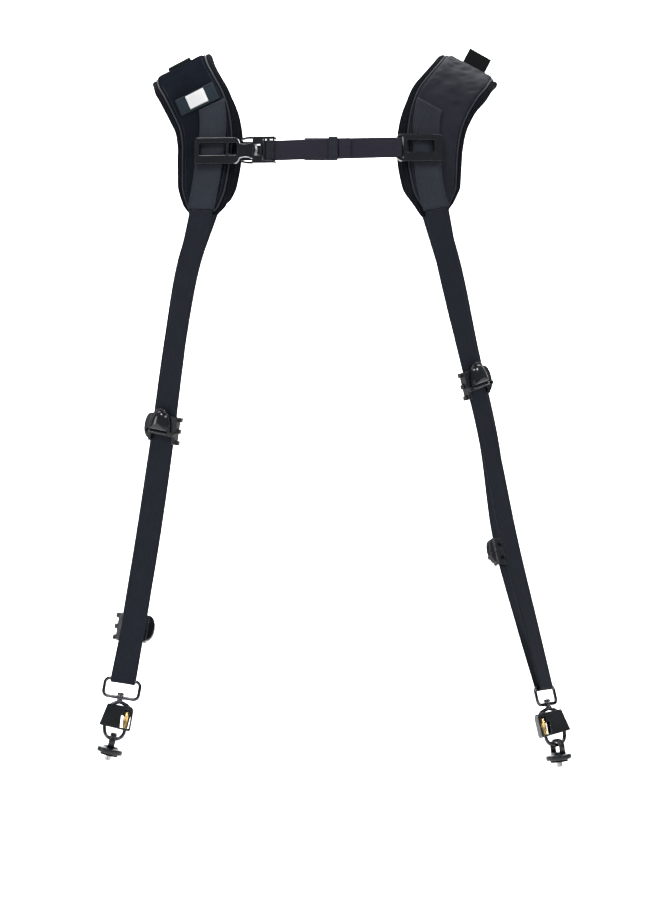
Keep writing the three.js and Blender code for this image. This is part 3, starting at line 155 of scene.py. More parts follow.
# One entry for each side; strap routes are rows of way, bow and yaw
SIDES = {
    "left": {
        "sign": -1,
        "crest": 142,
        "ring": 200,
        "drop": 619,
        "ringYaw": 12,
        "fastenerLean": 14,
        "hookYaw": 0,
        "eyeYaw": 0,
        "out": [0.826, 0.826, 0.819, 0.805, 0.799, 0.821, 0.866, 0.92, 0.963, 0.985, 1],
        "inner": [0.43, 0.66, 0.83, 0.9, 0.95, 0.98, 1.0, 0.975, 0.95, 0.97, 1.0],
        "outer": [0.44, 0.65, 0.84, 0.9, 0.93, 0.94, 0.975, 0.99, 1.035, 1.02, 1.005],
        "front": [(0.15, 0.45, 36), (0.3, 0.27, 36), (0.5, -0.02, 28), (0.7, -0.15, 22), (0.88, -0.2, 15)],
        "rear": [(0.12, 0.9, -22), (0.3, 0.9, -30), (0.5, 0.45, -20), (0.7, 0.15, -6), (0.88, 0.05, 6)],
        "stops": [("stop_front_left", "front", 0.467, -1), ("stop_rear_left", "rear", 0.857, 1)],
        "tabRise": 4,
        "tabLay": 14,
        "tabLean": 0,
    },
    "right": {
        "sign": 1,
        "crest": 1.05 * 142,
        "ring": 1.12 * 200,
        "drop": 1.011 * 619,
        "ringYaw": 57,
        "fastenerLean": 7,
        "hookYaw": 18,
        "eyeYaw": 20,
        "out": [0.756, 0.746, 0.732, 0.722, 0.729, 0.761, 0.816, 0.882, 0.942, 0.975, 1],
        "inner": [0.4, 0.53, 0.75, 0.85, 0.92, 0.99, 1.05, 1.005, 0.95, 0.93, 0.93],
        "outer": [0.42, 0.66, 0.92, 0.99, 1.01, 0.99, 0.95, 0.94, 1.0, 1.0, 1.0],
        "front": [(0.15, -0.2, 33), (0.3, -0.2, 42), (0.5, -0.1, 46), (0.7, -0.3, 47), (0.88, -0.1, 54)],
        "rear": [(0.12, 0.45, 4), (0.3, 0.4, 24), (0.5, 0.4, 34), (0.7, -0.5, 38), (0.88, -0.3, 50)],
        "stops": [("stop_front_right", "front", 0.382, -1), ("stop_rear_right", "rear", 0.695, 1)],
        "tabRise": 20,
        "tabLay": 0,
        "tabLean": 5,
    },
}

# Middle line of the pad webbing: section and offset inward as a share of half the pad's width
PAD_WEBBING_ROUTE = [(0.75, -0.03), (1.9, 0.05), (3.0, 0.11), (4.0, 0.18), (5.0, 0.31), (5.5, 0.375)]
REAR_WEBBING_TOP = 9.2
BAND_SECTIONS = (5.6, 6.55)
LABEL_SECTIONS = (5.7, 6.45)
STEPS = 8
LEG_STEPS = 110
TURN_STEPS = 16
SEAM_START = 0.94
COVER_COLUMNS = 30
WRINKLED_SECTIONS = (5.6, 10.5)
FOLD_SECTIONS = (4.1, 5.45)
FAR_FROM_WEBBING = 9.0
PIPING_RADIUS = 0.85
SELVEDGE_WIDTH = 1.6
THREAD_LEVEL = STRAP_THICKNESS / 2 + 0.12
LAYER_STEP = STRAP_THICKNESS + GAP
FLUTES = 9
FLUTE_DEPTH = 0.75


# Curves and frames

def vec(*values):
    return np.array(values, float)


def unit(v):
    return v / np.linalg.norm(v)


def square_to(v, axis):
    return unit(v - axis * float(np.dot(v, axis)))


def catmull(points, parameters):
    """Points of a centripetal curve through the given ones, at parameters from 0 to 1."""
    p = [np.array(q, float) for q in points]
    last = len(p) - 1
    knots = [2 * p[0] - p[1], *p, 2 * p[-1] - p[-2]]
    made = []
    for t in parameters:
        place = last * t
        i = min(int(place), last - 1)
        w = place - i
        p0, p1, p2, p3 = knots[i : i + 4]
        d0, d1, d2 = (math.sqrt(np.linalg.norm(b - a)) for a, b in ((p0, p1), (p1, p2), (p2, p3)))
        d1 = d1 if d1 > 1e-4 else 1.0
        d0 = d0 if d0 > 1e-4 else d1
        d2 = d2 if d2 > 1e-4 else d1
        m1 = ((p1 - p0) / d0 - (p2 - p0) / (d0 + d1) + (p2 - p1) / d1) * d1
        m2 = ((p2 - p1) / d1 - (p3 - p1) / (d1 + d2) + (p3 - p2) / d2) * d1
        made.append(
            p1
            + m1 * w
            + (-3 * p1 + 3 * p2 - 2 * m1 - m2) * w**2
            + (2 * p1 - 2 * p2 + m1 + m2) * w**3
        )
    return made


def even(count):
    return [i / count for i in range(count + 1)]


class Frame:
    """A point with three square directions: across, out and along."""

    def __init__(self, at, across, out, along):
        self.at, self.across, self.out, self.along = at, across, out, along

    def place(self, a, b, c=0.0):
        return self.at + self.across * a + self.out * b + self.along * c

    def moved(self, a, b, c=0.0):
        return Frame(self.place(a, b, c), self.across, self.out, self.along)


def frames_along(points, across, sign):
    made = []
    for i, at in enumerate(points):
        along = unit(points[min(i + 1, len(points) - 1)] - points[max(i - 1, 0)])
        side = square_to(across[i], along)
        made.append(Frame(at, side, np.cross(along, side) * sign, along))
    return made


def frame_at(frames, index):
    i = int(min(math.floor(index), len(frames) - 2))
    share = index - i
    a, b = frames[i], frames[i + 1]
    along = unit(a.along * (1 - share) + b.along * share)
    across = square_to(a.across * (1 - share) + b.across * share, along)
    out = square_to(square_to(a.out * (1 - share) + b.out * share, along), across)
    return Frame(a.at * (1 - share) + b.at * share, across, out, along)


def yawed(side, yaw):
    angle = math.radians(yaw)
    return vec(-side["sign"] * math.cos(angle), -math.sin(angle), 0)


class Pad:
    """The curved pad of one side: frames along it, with the half widths inward and outward."""

    def __init__(self, side):
        sign = side["sign"]
        rows = []
        order = [(i, False) for i in range(11)] + [(i, True) for i in range(9, -1, -1)]
        for i, rear in order:
            down, depth, slope, yaw = PAD_SECTIONS[i]
            slope = math.radians(slope)
            yaw = math.radians(yaw) * (1 if rear else -1)
            reach = BACK_DEPTH if rear else -CHEST_DEPTH
            drop = PAD_REAR_DROP if rear else PAD_FRONT_DROP
            rows.append(
                (
                    vec(sign * side["out"][i] * side["crest"], depth * reach, -down * drop),
                    vec(-sign * math.cos(slope) * math.cos(yaw), math.sin(yaw), math.sin(slope)),
                    vec(side["inner"][i] * PAD_WIDTH / 2, side["outer"][i] * PAD_WIDTH / 2, 0),
                )
            )
        self.rear = (len(rows) - 1) * STEPS
        share = even(self.rear)
        at, across, half = (catmull([r[k] for r in rows], share) for k in range(3))
        self.frames = frames_along(at, across, sign)
        self.inner = [h[0] for h in half]
        self.outer = [h[1] for h in half]
        self.lengths = lengths_of(at)

    def frame(self, section, rear=False):
        index = section * STEPS
        return frame_at(self.frames, self.rear - index if rear else index)

    def stretch(self, start, end, rear=False, step=0.125):
        count = max(2, round((end - start) / step))
        return [self.frame(start + (end - start) * i / count, rear) for i in range(count + 1)]


def lengths_of(points):
    total = [0.0]
    for a, b in zip(points, points[1:]):
        total.append(total[-1] + float(np.linalg.norm(b - a)))
    return total


def webbing_offset(section):
    sections = [row[0] for row in PAD_WEBBING_ROUTE]
    offsets = [row[1] * PAD_WIDTH / 2 for row in PAD_WEBBING_ROUTE]
    return float(np.interp(section, sections, offsets))


def tab_offset(side, section):
    """How far the rear webbing lies from the pad's middle, at a section from the rear end."""
    low = PAD_WEBBING_ROUTE[0][0]
    share = min(max((section - low) / (REAR_WEBBING_TOP - low), 0.0), 1.0)
    return -side["tabLean"] * share**2


def ring_frame(side, pad):
    at = vec(side["sign"] * side["ring"], -RING_DEPTH, -side["drop"])
    along = unit(unit(pad.frames[0].at - at) + unit(pad.frames[-1].at - at))
    across = square_to(yawed(side, side["ringYaw"]), along)
    return Frame(at, across, np.cross(along, across) * side["sign"], along)


RING_BOTTOM = RING_HEIGHT - RING_WIRE
BAR_HALF = RING_WIRE / 2 + 0.2
HOOK_TOP = -BAR_HALF - GAP
HOOK_LOW = -HOOK_LENGTH + HOOK_WIRE / 2
HOOK_HALF = (HOOK_WIDTH - HOOK_WIRE) / 2
GATE_TOP = HOOK_TOP - 8
GATE_PIVOT = GATE_TOP - GATE_WIRE / 2
GATE_LOW = HOOK_LOW + 10.5
GATE_PLACE = HOOK_HALF - 0.6
COVER_DEPTH = 11
COVER_TOP_DROP = 5.5
COVER_HEIGHT = 24
COVER_LEAN_TOP = 3.0
COVER_LEAN_FOOT = -1.1
COVER_ROOF = 3.4
COVER_SLOT = 8
EYE_TOP = HOOK_WIRE / 2 + 4 * GAP + EYE_THICKNESS / 2
EYE_CENTRE = EYE_TOP - EYE_RADIUS
DISC_TOP = EYE_CENTRE - EYE_HEIGHT
DISC_LOW = DISC_TOP - DISC_THICKNESS


def hook_frame(side, ring):
    across = square_to(yawed(side, side["hookYaw"]), ring.along)
    out = np.cross(ring.along, across) * side["sign"]
    return Frame(ring.place(0, 0, -RING_BOTTOM), across, out, ring.along)


def fastener_frame(side, hook):
    lean = math.radians(side["fastenerLean"])
    along = vec(-side["sign"] * math.sin(lean), 0, math.cos(lean))
    across = square_to(yawed(side, side["hookYaw"] + side["eyeYaw"]), along)
    return Frame(hook.place(0, 0, HOOK_LOW), across, np.cross(along, across) * side["sign"], along)


def strap_frames(side, pad, ring):
    """Frames of the whole strap from the front pad round the ring to the rear pad."""
    seam_section, seam_share = PAD_WEBBING_ROUTE[0]

    def leg(rear):
        offset = 0 if rear else seam_share * PAD_WIDTH / 2
        on_pad = []
        for share in (SEAM_START, 0.72, 0.5, 0.25, 0):
            f = pad.frame(seam_section * share, rear)
            on_pad.append((f.place(offset, WEBBING_LEVEL), f.across))
        start = on_pad[-1][0]
        goal = ring.place(0, -RING_TURN if rear else RING_TURN, RING_TURN)
        knots = [on_pad[2], on_pad[-1]]
        for way, bow, yaw in side["rear" if rear else "front"]:
            at = start * (1 - way) + goal * way + vec(side["sign"] * bow * STRAP_BOW, 0, 0)
            knots.append((at, yawed(side, yaw)))
        knots.append((goal, ring.across))
        first = 1 / (len(knots) - 1)
        share = [first + (1 - first) * i / LEG_STEPS for i in range(1, LEG_STEPS + 1)]
        at = catmull([k[0] for k in knots], share)
        across = catmull([k[1] for k in knots], share)
        return [p[0] for p in on_pad] + at, [p[1] for p in on_pad] + across, len(on_pad)

    points, across, seam = leg(False)
    rear_points, rear_across, _ = leg(True)
    for i in range(1, TURN_STEPS):
        angle = math.pi * i / TURN_STEPS
        points.append(ring.place(0, RING_TURN * math.cos(angle), -RING_TURN * math.sin(angle)))
        across.append(ring.across)
    points += rear_points[::-1]
    across += rear_across[::-1]
    return frames_along(points, across, -side["sign"]), seam


def stop_frame(side, frames, seam, leg, way, ear):
    index = seam - 1 + way * LEG_STEPS if leg == "front" else len(frames) - seam - way * LEG_STEPS
    f = frame_at(frames, index)
    along = f.along * (-1 if leg == "front" else 1)
    return Frame(f.at, f.across * ear, f.out, along)


def chest_frame(side, pad, lift):
    f = pad.frame(FRAME_SECTION)
    across = unit(vec(f.across[0], f.across[1], 0))
    out = square_to(f.out, across)
    along = np.cross(across, out) * side["sign"]
    return Frame(f.place(FRAME_OFFSET, FRAME_LEVEL, lift), across, out, along)


# Materials

class Paint:
    """A node material built from a few calls."""

    def __init__(self, name, roughness, metallic=0.0, **sockets):
        self.material = bpy.data.materials.new(name)
        self.material.use_nodes = True
        self.tree = self.material.node_tree
        self.shader = self.tree.nodes["Principled BSDF"]
        self.shader.inputs["Metallic"].default_value = metallic
        self.shader.inputs["Roughness"].default_value = roughness
        for socket, value in sockets.items():
            self.shader.inputs[socket.replace("_", " ")].default_value = value

    def node(self, kind, **settings):
        made = self.tree.nodes.new("ShaderNode" + kind)
        for key, value in settings.items():
            setattr(made, key, value)
        return made

    def link(self, source, target):
        self.tree.links.new(source, target)

    def math(self, operation, *values):
        made = self.node("Math", operation=operation)
        for socket, value in zip(made.inputs, values):
            if isinstance(value, (int, float)):
                socket.default_value = value
            else:
                self.link(value, socket)
        return made.outputs[0]

    def wave(self, place, pitch):
        """The sine of a place that turns half round in each pitch."""
        return self.math("SINE", self.math("MULTIPLY", place, math.pi / pitch))

    def blend(self, *parts):
        """The sum of values, each times its share."""
        total = None
        for value, share in parts:
            part = self.math("MULTIPLY", value, share)
            total = part if total is None else self.math("ADD", total, part)
        return total

    def texture(self, kind, **inputs):
        """A texture over the object's own space."""
        made = self.node(kind)
        for name, value in inputs.items():
            made.inputs[name].default_value = value
        self.link(self.node("TexCoord").outputs["Object"], made.inputs["Vector"])
        return made

    def noise(self, scale, detail, roughness=0.55):
        return self.texture("TexNoise", Scale=scale, Detail=detail, Roughness=roughness).outputs["Fac"]

    def weave_uv(self):
        split = self.node("SeparateXYZ")
        self.link(self.node("UVMap", uv_map="weave").outputs["UV"], split.inputs[0])
        return split.outputs[0], split.outputs[1]

    def colour(self, factor, base, *stops):
        """Shades of a colour along a factor; each stop is a place and how bright the colour is there."""
        made = self.node("ValToRGB")
        elements = made.color_ramp.elements
        while len(elements) < len(stops):
            elements.new(0.5)
        for element, (place, bright) in zip(elements, stops):
            element.position = place
            element.color = (*(c * bright for c in base), 1)
        self.link(factor, made.inputs["Fac"])
        self.link(made.outputs["Color"], self.shader.inputs["Base Color"])

    def roughness(self, factor, low, high):
        made = self.node("MapRange")
        made.inputs["To Min"].default_value = low
        made.inputs["To Max"].default_value = high
        self.link(factor, made.inputs["Value"])
        self.link(made.outputs[0], self.shader.inputs["Roughness"])

    def bump(self, height, distance, strength):
        made = self.node("Bump")
        made.inputs["Distance"].default_value = distance
        made.inputs["Strength"].default_value = strength
        self.link(height, made.inputs["Height"])
        self.link(made.outputs["Normal"], self.shader.inputs["Normal"])


def webbing_paint(name, colour, rib, column, sheen=0.02, depth=0.00022):
    """Woven webbing: ribs across the length with rows of columns along it."""
    paint = Paint(name, 0.7, Sheen_Weight=sheen, Sheen_Roughness=0.4, Specular_IOR_Level=0.08)
    u, v = paint.weave_uv()
    columns = paint.wave(u, column)
    ribs = paint.math("SINE", paint.blend((v, math.pi / rib), (columns, 0.6)))
    height = paint.blend((paint.math("ABSOLUTE", ribs), 0.6), (paint.math("ABSOLUTE", columns), 0.4))
    cloud = paint.noise(45, 4)
    mixed = paint.blend((height, 0.55), (cloud, 0.3), (paint.noise(900, 2), 0.15))
    paint.colour(mixed, colour, (0.15, 0.45), (0.55, 1), (0.95, 1.7))
    paint.roughness(cloud, 0.58, 0.8)
    paint.bump(height, depth, 0.8)
    return paint.material


def cloth_paint(name, colour, thread, sheen=0.02, depth=0.00012, shine=0.06):
    """Plain woven nylon with a soft unevenness."""
    paint = Paint(name, 0.6, Sheen_Weight=sheen, Sheen_Roughness=0.35, Specular_IOR_Level=shine)
    warp, weft = (paint.math("ABSOLUTE", paint.wave(place, thread)) for place in paint.weave_uv())
    height = paint.math("MULTIPLY", warp, weft)
    cloud = paint.noise(28, 5)
    paint.colour(paint.blend((height, 0.35), (cloud, 0.65)), colour, (0.2, 0.55), (0.5, 1), (0.85, 1.5))
    paint.roughness(cloud, 0.48, 0.72)
    paint.bump(height, depth, 0.7)
    return paint.material


def mesh_paint(name, colour):
    """Open air mesh: small round holes in a knitted face."""
    paint = Paint(name, 0.85, Specular_IOR_Level=0.01)
    distance = paint.texture("TexVoronoi", Scale=620, Randomness=0.35).outputs["Distance"]
    paint.colour(distance, colour, (0.1, 0.3), (0.42, 1), (0.8, 1.9))
    paint.bump(distance, 0.0003, 0.6)
    return paint.material


def plastic_paint(name, colour, roughness, grain=0.00004, shine=0.5):
    """Moulded plastic with a fine grain and slightly rubbed places."""
    paint = Paint(name, roughness, Specular_IOR_Level=shine)
    rub = paint.noise(70, 5, 0.6)
    paint.colour(rub, colour, (0.35, 1), (0.75, 1.6))
    paint.roughness(rub, roughness * 0.75, roughness * 1.3)
    paint.bump(paint.noise(2600, 2), grain, 0.5)
    return paint.material


def metal_paint(name, colour, roughness, edge=(1, 1, 1)):
    """Plated metal with faint marks and worn patches."""
    paint = Paint(name, roughness, 1.0, Specular_Tint=(*edge, 1))
    worn = paint.noise(160, 4, 0.6)
    paint.colour(worn, colour, (0.3, 0.75), (0.8, 1.25))
    paint.roughness(worn, roughness * 0.7, roughness * 1.5)
    paint.bump(paint.noise(1500, 3), 0.00002, 0.4)
    return paint.material


WEBBING = webbing_paint("webbing", (0.0105, 0.0128, 0.0185), 0.0011, 0.0021)
PAD_WEBBING = webbing_paint("pad_webbing", (0.022, 0.026, 0.034), 0.0011, 0.0021)
RIBBED_WEBBING = webbing_paint("ribbed_webbing", (0.021, 0.0235, 0.031), 0.0009, 0.0019, depth=0.0004)
CHEST_WEBBING = webbing_paint("chest_webbing", (0.019, 0.018, 0.027), 0.001, 0.0019)
BAND_WEBBING = webbing_paint("band_webbing", (0.013, 0.021, 0.028), 0.0009, 0.0017)
TAB_WEBBING = webbing_paint("tab_webbing", (0.005, 0.0058, 0.0066), 0.0011, 0.0021, sheen=0.01)
PANEL_LEFT = cloth_paint("panel_cloth_left", (0.0088, 0.0107, 0.0152), 0.0007, sheen=0.0, shine=0.0)
# The right pad's cover is the same cloth as the left one with about twice its colour: painted sheen and light
# on the right pad
PANEL_RIGHT_PAINTED_SHEEN = cloth_paint("panel_cloth_right_painted_sheen", (0.0175, 0.019, 0.026), 0.0007, sheen=0.0, shine=0.03)
# The piping's colour is raised well above the cover's to paint the highlight along the panel edges
PIPING_PAINTED_HIGHLIGHT = cloth_paint("piping_cloth_painted_highlight", (0.036, 0.039, 0.049), 0.0006, sheen=0.05)
AIR_MESH = mesh_paint("air_mesh", (0.006, 0.0066, 0.009))
LABEL = cloth_paint("label_cloth", (0.8, 0.8, 0.81), 0.0004, sheen=0.1, depth=0.00005)
THREAD = cloth_paint("thread", (0.03, 0.033, 0.042), 0.0003, sheen=0.1)
PLASTIC = plastic_paint("satin_plastic", (0.0045, 0.0055, 0.0075), 0.27, shine=0.4)
GLOSS = plastic_paint("gloss_plastic", (0.004, 0.005, 0.007), 0.13, 0.00001)
RUBBER = plastic_paint("rubber", (0.006, 0.006, 0.0065), 0.6, shine=0.12)
BLACK_NICKEL = metal_paint("black_nickel", (0.075, 0.075, 0.083), 0.13, (0.05, 0.05, 0.06))
STEEL = metal_paint("stud_steel", (0.5, 0.5, 0.5), 0.3)
BRASS = metal_paint("brass", (0.9, 0.62, 0.24), 0.2)


# Mesh tools

def turn(count):
    """The angles of a whole turn in equal steps."""
    return [2 * math.pi * k / count for k in range(count)]


def build(name, shape, material, slot, node=None, body="root"):
    """A piece made of corners in millimetres, faces and weave places. It can stand for a node."""
    verts, faces, uvs = shape
    mesh = bpy.data.meshes.new(name)
    mesh.from_pydata([tuple(float(x) * MM for x in v) for v in verts], [], faces)
    mesh.materials.append(material)
    work = bmesh.new()
    work.from_mesh(mesh)
    bmesh.ops.recalc_face_normals(work, faces=work.faces)
    weave = work.loops.layers.uv.new("weave")
    for face in work.faces:
        face.smooth = True
        for loop in face.loops:
            u, v = uvs[loop.vert.index]
            loop[weave].uv = (u * MM, v * MM)
    work.to_mesh(mesh)
    work.free()
    made = bpy.data.objects.new(name, mesh)
    bpy.context.scene.collection.objects.link(made)
    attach(made, body)
    if node:
        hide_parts(node)
    return made


def skin(rings, us, vs, closed=False):
    """A loft through closed rings of points, with a row of weave places round each ring."""
    count = len(rings[0])
    verts = [p for ring in rings for p in ring]
    uvs = [(u, v) for row, v in zip(us, vs) for u in row]
    faces = []
    for i in range(len(rings) if closed else len(rings) - 1):
        a, b = i * count, ((i + 1) % len(rings)) * count
        for j in range(count):
            k = (j + 1) % count
            faces.append((a + j, a + k, b + k, b + j))
    if not closed:
        faces.append(tuple(range(count)))
        faces.append(tuple(range((len(rings) - 1) * count, len(rings) * count)))
    return verts, faces, uvs


class Stack:
    """Several shapes gathered into one mesh."""

    def __init__(self):
        self.verts, self.faces, self.uvs = [], [], []

    def add(self, shape):
        verts, faces, uvs = shape
        base = len(self.verts)
        self.verts += verts
        self.faces += [tuple(base + i for i in face) for face in faces]
        self.uvs += uvs

    def build(self, name, *options, **more):
        return build(name, (self.verts, self.faces, self.uvs), *options, **more)


def modifier(obj, kind, **settings):
    made = obj.modifiers.new(kind.lower(), kind)
    for key, value in settings.items():
        setattr(made, key, value)


def ribbon_section(width, thickness, columns=10, selvedge=0.14):
    """Webbing's section: the top face from inner to outer edge, then the underside back."""
    r = thickness / 2
    flat = width / 2 - r
    rows = []
    for sign, lift in ((1, 1), (-1, 0.6)):
        for i in range(columns + 1):
            a = flat * (1 - 2 * i / columns)
            rise = selvedge * math.exp(-(((flat - abs(a)) / SELVEDGE_WIDTH) ** 2))
            rows.append((sign * a, sign * (r + rise * lift)))
        for angle in (60, 0, -60):
            t = math.radians(angle)
            rows.append((-sign * (flat + r * math.cos(t)), sign * r * math.sin(t)))
    return rows


def sweep(frames, section, lift=None):
    """A loft of one section, given as places across and out, along frames."""
    rings = []
    for i, f in enumerate(frames):
        rings.append([f.place(a, b + (lift(i, a) if lift else 0.0)) for a, b in section])
    return skin(rings, [[a for a, _ in section]] * len(frames), lengths_of([f.at for f in frames]))


def ribbon(name, frames, width, material, slot, node):
    build(name, sweep(frames, ribbon_section(width, STRAP_THICKNESS)), material, slot, node)


def tube(points, radius, sides=14, closed=False, up=UP):
    """A round wire along points; radius is one value or one for each point."""
    rings = []
    count = len(points)
    normal = None
    for i, p in enumerate(points):
        before = points[i - 1] if closed or i > 0 else p
        after = points[(i + 1) % count] if closed or i < count - 1 else p
        along = unit(after - before)
        if normal is None:
            normal = up if abs(np.dot(up, along)) < 0.9 else vec(1, 0, 0)
        normal = square_to(normal, along)
        side = np.cross(along, normal)
        r = radius[i] if isinstance(radius, list) else radius
        rings.append([p + normal * r * math.cos(angle) + side * r * math.sin(angle) for angle in turn(sides)])
    return skin(rings, [turn(sides)] * count, lengths_of(points), closed)


def lathe(f, profile, sides=40):
    """A body of revolution about the frame's along direction."""
    rings = []
    for radius, height in profile:
        r = max(radius, 1e-3)
        rings.append([f.place(r * math.cos(angle), r * math.sin(angle), height) for angle in turn(sides)])
    return skin(rings, [turn(sides)] * len(profile), [height for _, height in profile])


# Along a stitch: share of its length, height over the surface and share of the thread's radius
STITCH = [(0, -0.25, 0.5), (0.15, 0.1, 0.9), (0.5, 0.22, 1), (0.85, 0.1, 0.9), (1, -0.25, 0.5)]


def stitches(stack, path, normals, pitch=3.0, length=2.1, radius=0.3):
    """A row of thread stitches along a path that lies on a surface."""
    total = lengths_of(path)
    marks = np.array(path)
    ups = np.array(normals)

    def sample(distance):
        return [vec(*[np.interp(distance, total, rows[:, k]) for k in range(3)]) for rows in (marks, ups)]

    at = pitch / 2
    while at + length < total[-1]:
        points = []
        for share, sink, _ in STITCH:
            p, n = sample(at + length * share)
            points.append(p + unit(n) * sink)
        stack.add(tube(points, [radius * swell for _, _, swell in STITCH], 6, up=unit(sample(at)[1])))
        at += pitch


# Pads

def smooth_step(x):
    x = min(max(x, 0.0), 1.0)
    return x * x * (3 - 2 * x)


def bumps(x, y, size, seed):
    return noise.noise(Vector((x / size, y / size, seed)))


# The base's section: place in from its edge and height
RIM_PROFILE = [(0, 0), (0.35, 1.6), (0.9, 2.7), (1.8, 3.6), (3.2, 4.05), (4.8, 3.95), (6.0, 3.3), (6.9, 2.8)]
UNDER_PROFILE = [(6.9, 4.0), (4.2, 4.0), (2.4, 3.75), (1.1, 2.9), (0.35, 1.6)]
RIM_WIDTH = 9
TOP_LEVEL = 3.5
UNDER_LEVEL = -4.0
END_ROUND = 4.0


def pad_base(key, pad, seed):
    """The padded base: a rolled rim of air mesh with a sunk groove where the cover starts."""
    rings, us = [], []
    for f, inner, outer, run in zip(pad.frames, pad.inner, pad.outer, pad.lengths):
        close = min(run, pad.lengths[-1] - run)
        squeeze = math.sqrt(1 - (1 - min(close / END_ROUND, 1.0)) ** 2) * 0.55 + 0.45
        middle = inner + outer - 2 * RIM_WIDTH
        row = [(inner - e, b) for e, b in RIM_PROFILE]
        row += [(inner - RIM_WIDTH - middle * k / 6, TOP_LEVEL) for k in range(7)]
        row += [(-outer + e, b) for e, b in reversed(RIM_PROFILE)]
        row += [(-outer + e, -b) for e, b in reversed(UNDER_PROFILE)]
        row += [(-outer + RIM_WIDTH + middle * k / 6, UNDER_LEVEL) for k in range(7)]
        row += [(inner - e, -b) for e, b in UNDER_PROFILE]
        ring = []
        for a, b in row:
            lump = 0.3 * bumps(run, a, 14, seed) + 0.12 * bumps(run, a, 4, seed + 9)
            ring.append(f.place(a, b * squeeze + (lump if b > 0 else 0)))
        rings.append(ring)
        us.append([a for a, _ in row])
    base = build("pad_base_" + key, skin(rings, us, pad.lengths), AIR_MESH, "pad_mesh", "pad_" + key)
    return base


def clearance(side, section, rear_section, a):
    """How far a place on the cover is from the webbing that holds it down."""
    if section < PAD_WEBBING_ROUTE[-1][0] + 0.05:
        return abs(a - webbing_offset(section)) - PAD_WEBBING_WIDTH / 2
    if rear_section < REAR_WEBBING_TOP + 0.1:
        return abs(a - tab_offset(side, rear_section)) - STRAP_WIDTH / 2
    if side["sign"] < 0 and section < BAND_SECTIONS[1] + 0.1:
        return abs(a - BAND_OFFSET) - BAND_LENGTH / 2
    return FAR_FROM_WEBBING


def puffed(side, section, run, a, seed):
    """How far the cover stands up where it is free, with the right pad's slanting wrinkles."""
    puff = 0.55 + 0.5 * bumps(run, a, 17, seed)
    low, high = WRINKLED_SECTIONS
    if side["sign"] < 0 or not low < section < high:
        return puff + 0.35 * bumps(run, a * 2.5, 9, seed + 5)
    slant = run * 0.55 + a * 0.85
    fold = 1 - abs(bumps(slant, run * 0.35 - a * 0.2, 7.5, seed + 3)) * 2.2
    strength = smooth_step((section - low) / 0.6) * smooth_step((high - section) / 1.2)
    return puff + 1.25 * fold * strength


def pad_cover(key, side, pad, paint, seed):
    """The cover: held at its edges and under the webbing, puffed and wrinkled between."""
    first, last = STEPS // 2, pad.rear - STEPS // 2
    rings, us, lengths = [], [], []
    low = PAD_THICKNESS / 2 + GAP
    area = widest = 0.0
    for i in range(first, last + 1):
        f = pad.frames[i]
        inner = pad.inner[i] - PANEL_MARGIN
        outer = pad.outer[i] - PANEL_MARGIN
        run = pad.lengths[i]
        ends = min(run - pad.lengths[first], pad.lengths[last] - run)
        row = []
        for k in range(COVER_COLUMNS + 1):
            a = inner - (inner + outer) * (k / COVER_COLUMNS)
            edge = min(inner - a, a + outer)
            rise = math.sqrt(1 - (1 - min(max(edge, 0) / 1.3, 1.0)) ** 2)
            level = low + 0.1 + (PANEL_THICKNESS - 0.1) * rise
            clear = clearance(side, i / STEPS, (pad.rear - i) / STEPS, a)
            free = smooth_step((clear - 0.5) / 5) * smooth_step(edge / 4) * smooth_step(ends / 6)
            row.append((a, level + free * puffed(side, i / STEPS, run, a, seed)))
        row += [(-outer + (inner + outer) * k / 6, low) for k in range(7)]
        rings.append([f.place(a, b) for a, b in row])
        us.append([a for a, _ in row])
        lengths.append(run)
        widest = max(widest, inner + outer)
        if i > first:
            area += (inner + outer) * (run - lengths[-2])
    cover = build("pad_cover_" + key, skin(rings, us, lengths), paint, "pad_panel", "pad_panel_" + key)


def edge_line(pad, margin, level, skipped, inward):
    """Points and up directions along one edge of the pad, at a distance in from it."""
    start = STEPS // 2 + skipped
    points, ups = [], []
    for i in range(start, pad.rear - start + 1):
        f = pad.frames[i]
        points.append(f.place(pad.inner[i] - margin if inward else -pad.outer[i] + margin, level))
        ups.append(f.out)
    return points, ups


def layer(frames, offsets, level):
    return [f.moved(offset, level) for f, offset in zip(frames, offsets)]


def side_rows(stack, frames, width, level):
    """Rows of stitches along webbing, near both its edges."""
    for a in (-width / 2 + 2.2, width / 2 - 2.2):
        stitches(stack, [f.place(a, level) for f in frames], [f.out for f in frames])


def cross_rows(stack, frames, width, level, places):
    """Rows of stitches across webbing, at the given shares of a list of frames."""
    for place in places:
        f = frame_at(frames, place * (len(frames) - 1))
        half = width / 2 - 2
        points = [f.place(half - 2 * half * k / 12, level) for k in range(13)]
        stitches(stack, points, [f.out] * 13, 2.4, 1.7, 0.28)


def tab_frames(side, pad):
    """The rear webbing's frames up the rear of the pad, and then of its free tab."""
    low = PAD_WEBBING_ROUTE[0][0]
    stretch = pad.stretch(low, REAR_WEBBING_TOP, True)
    last = len(stretch) - 1
    offsets = [tab_offset(side, low + (REAR_WEBBING_TOP - low) * i / last) for i in range(last + 1)]
    on_pad = layer(stretch, offsets, WEBBING_LEVEL)
    end = stretch[-1]
    bend = 3
    rise = side["tabRise"]
    knots = [(0, 0), (bend * 0.7, bend * 0.3), (bend, bend), (bend, rise)]
    if side["tabLay"] > 0:
        knots += [(bend * 0.3, rise + bend * 0.7), (-bend, rise + bend), (-side["tabLay"], rise + bend)]
    lean = -side["tabLean"]
    marks = [end.place(lean, WEBBING_LEVEL + up) - end.along * ahead for ahead, up in knots]
    points = catmull(marks, even(30))
    frames = frames_along(points, [end.across] * len(points), -side["sign"])
    return on_pad, frames[1:]


def fold_ribs(i, a):
    """The coarse ribs of the doubled webbing."""
    return 0.22 * math.cos(2 * math.pi * a / 2.3)


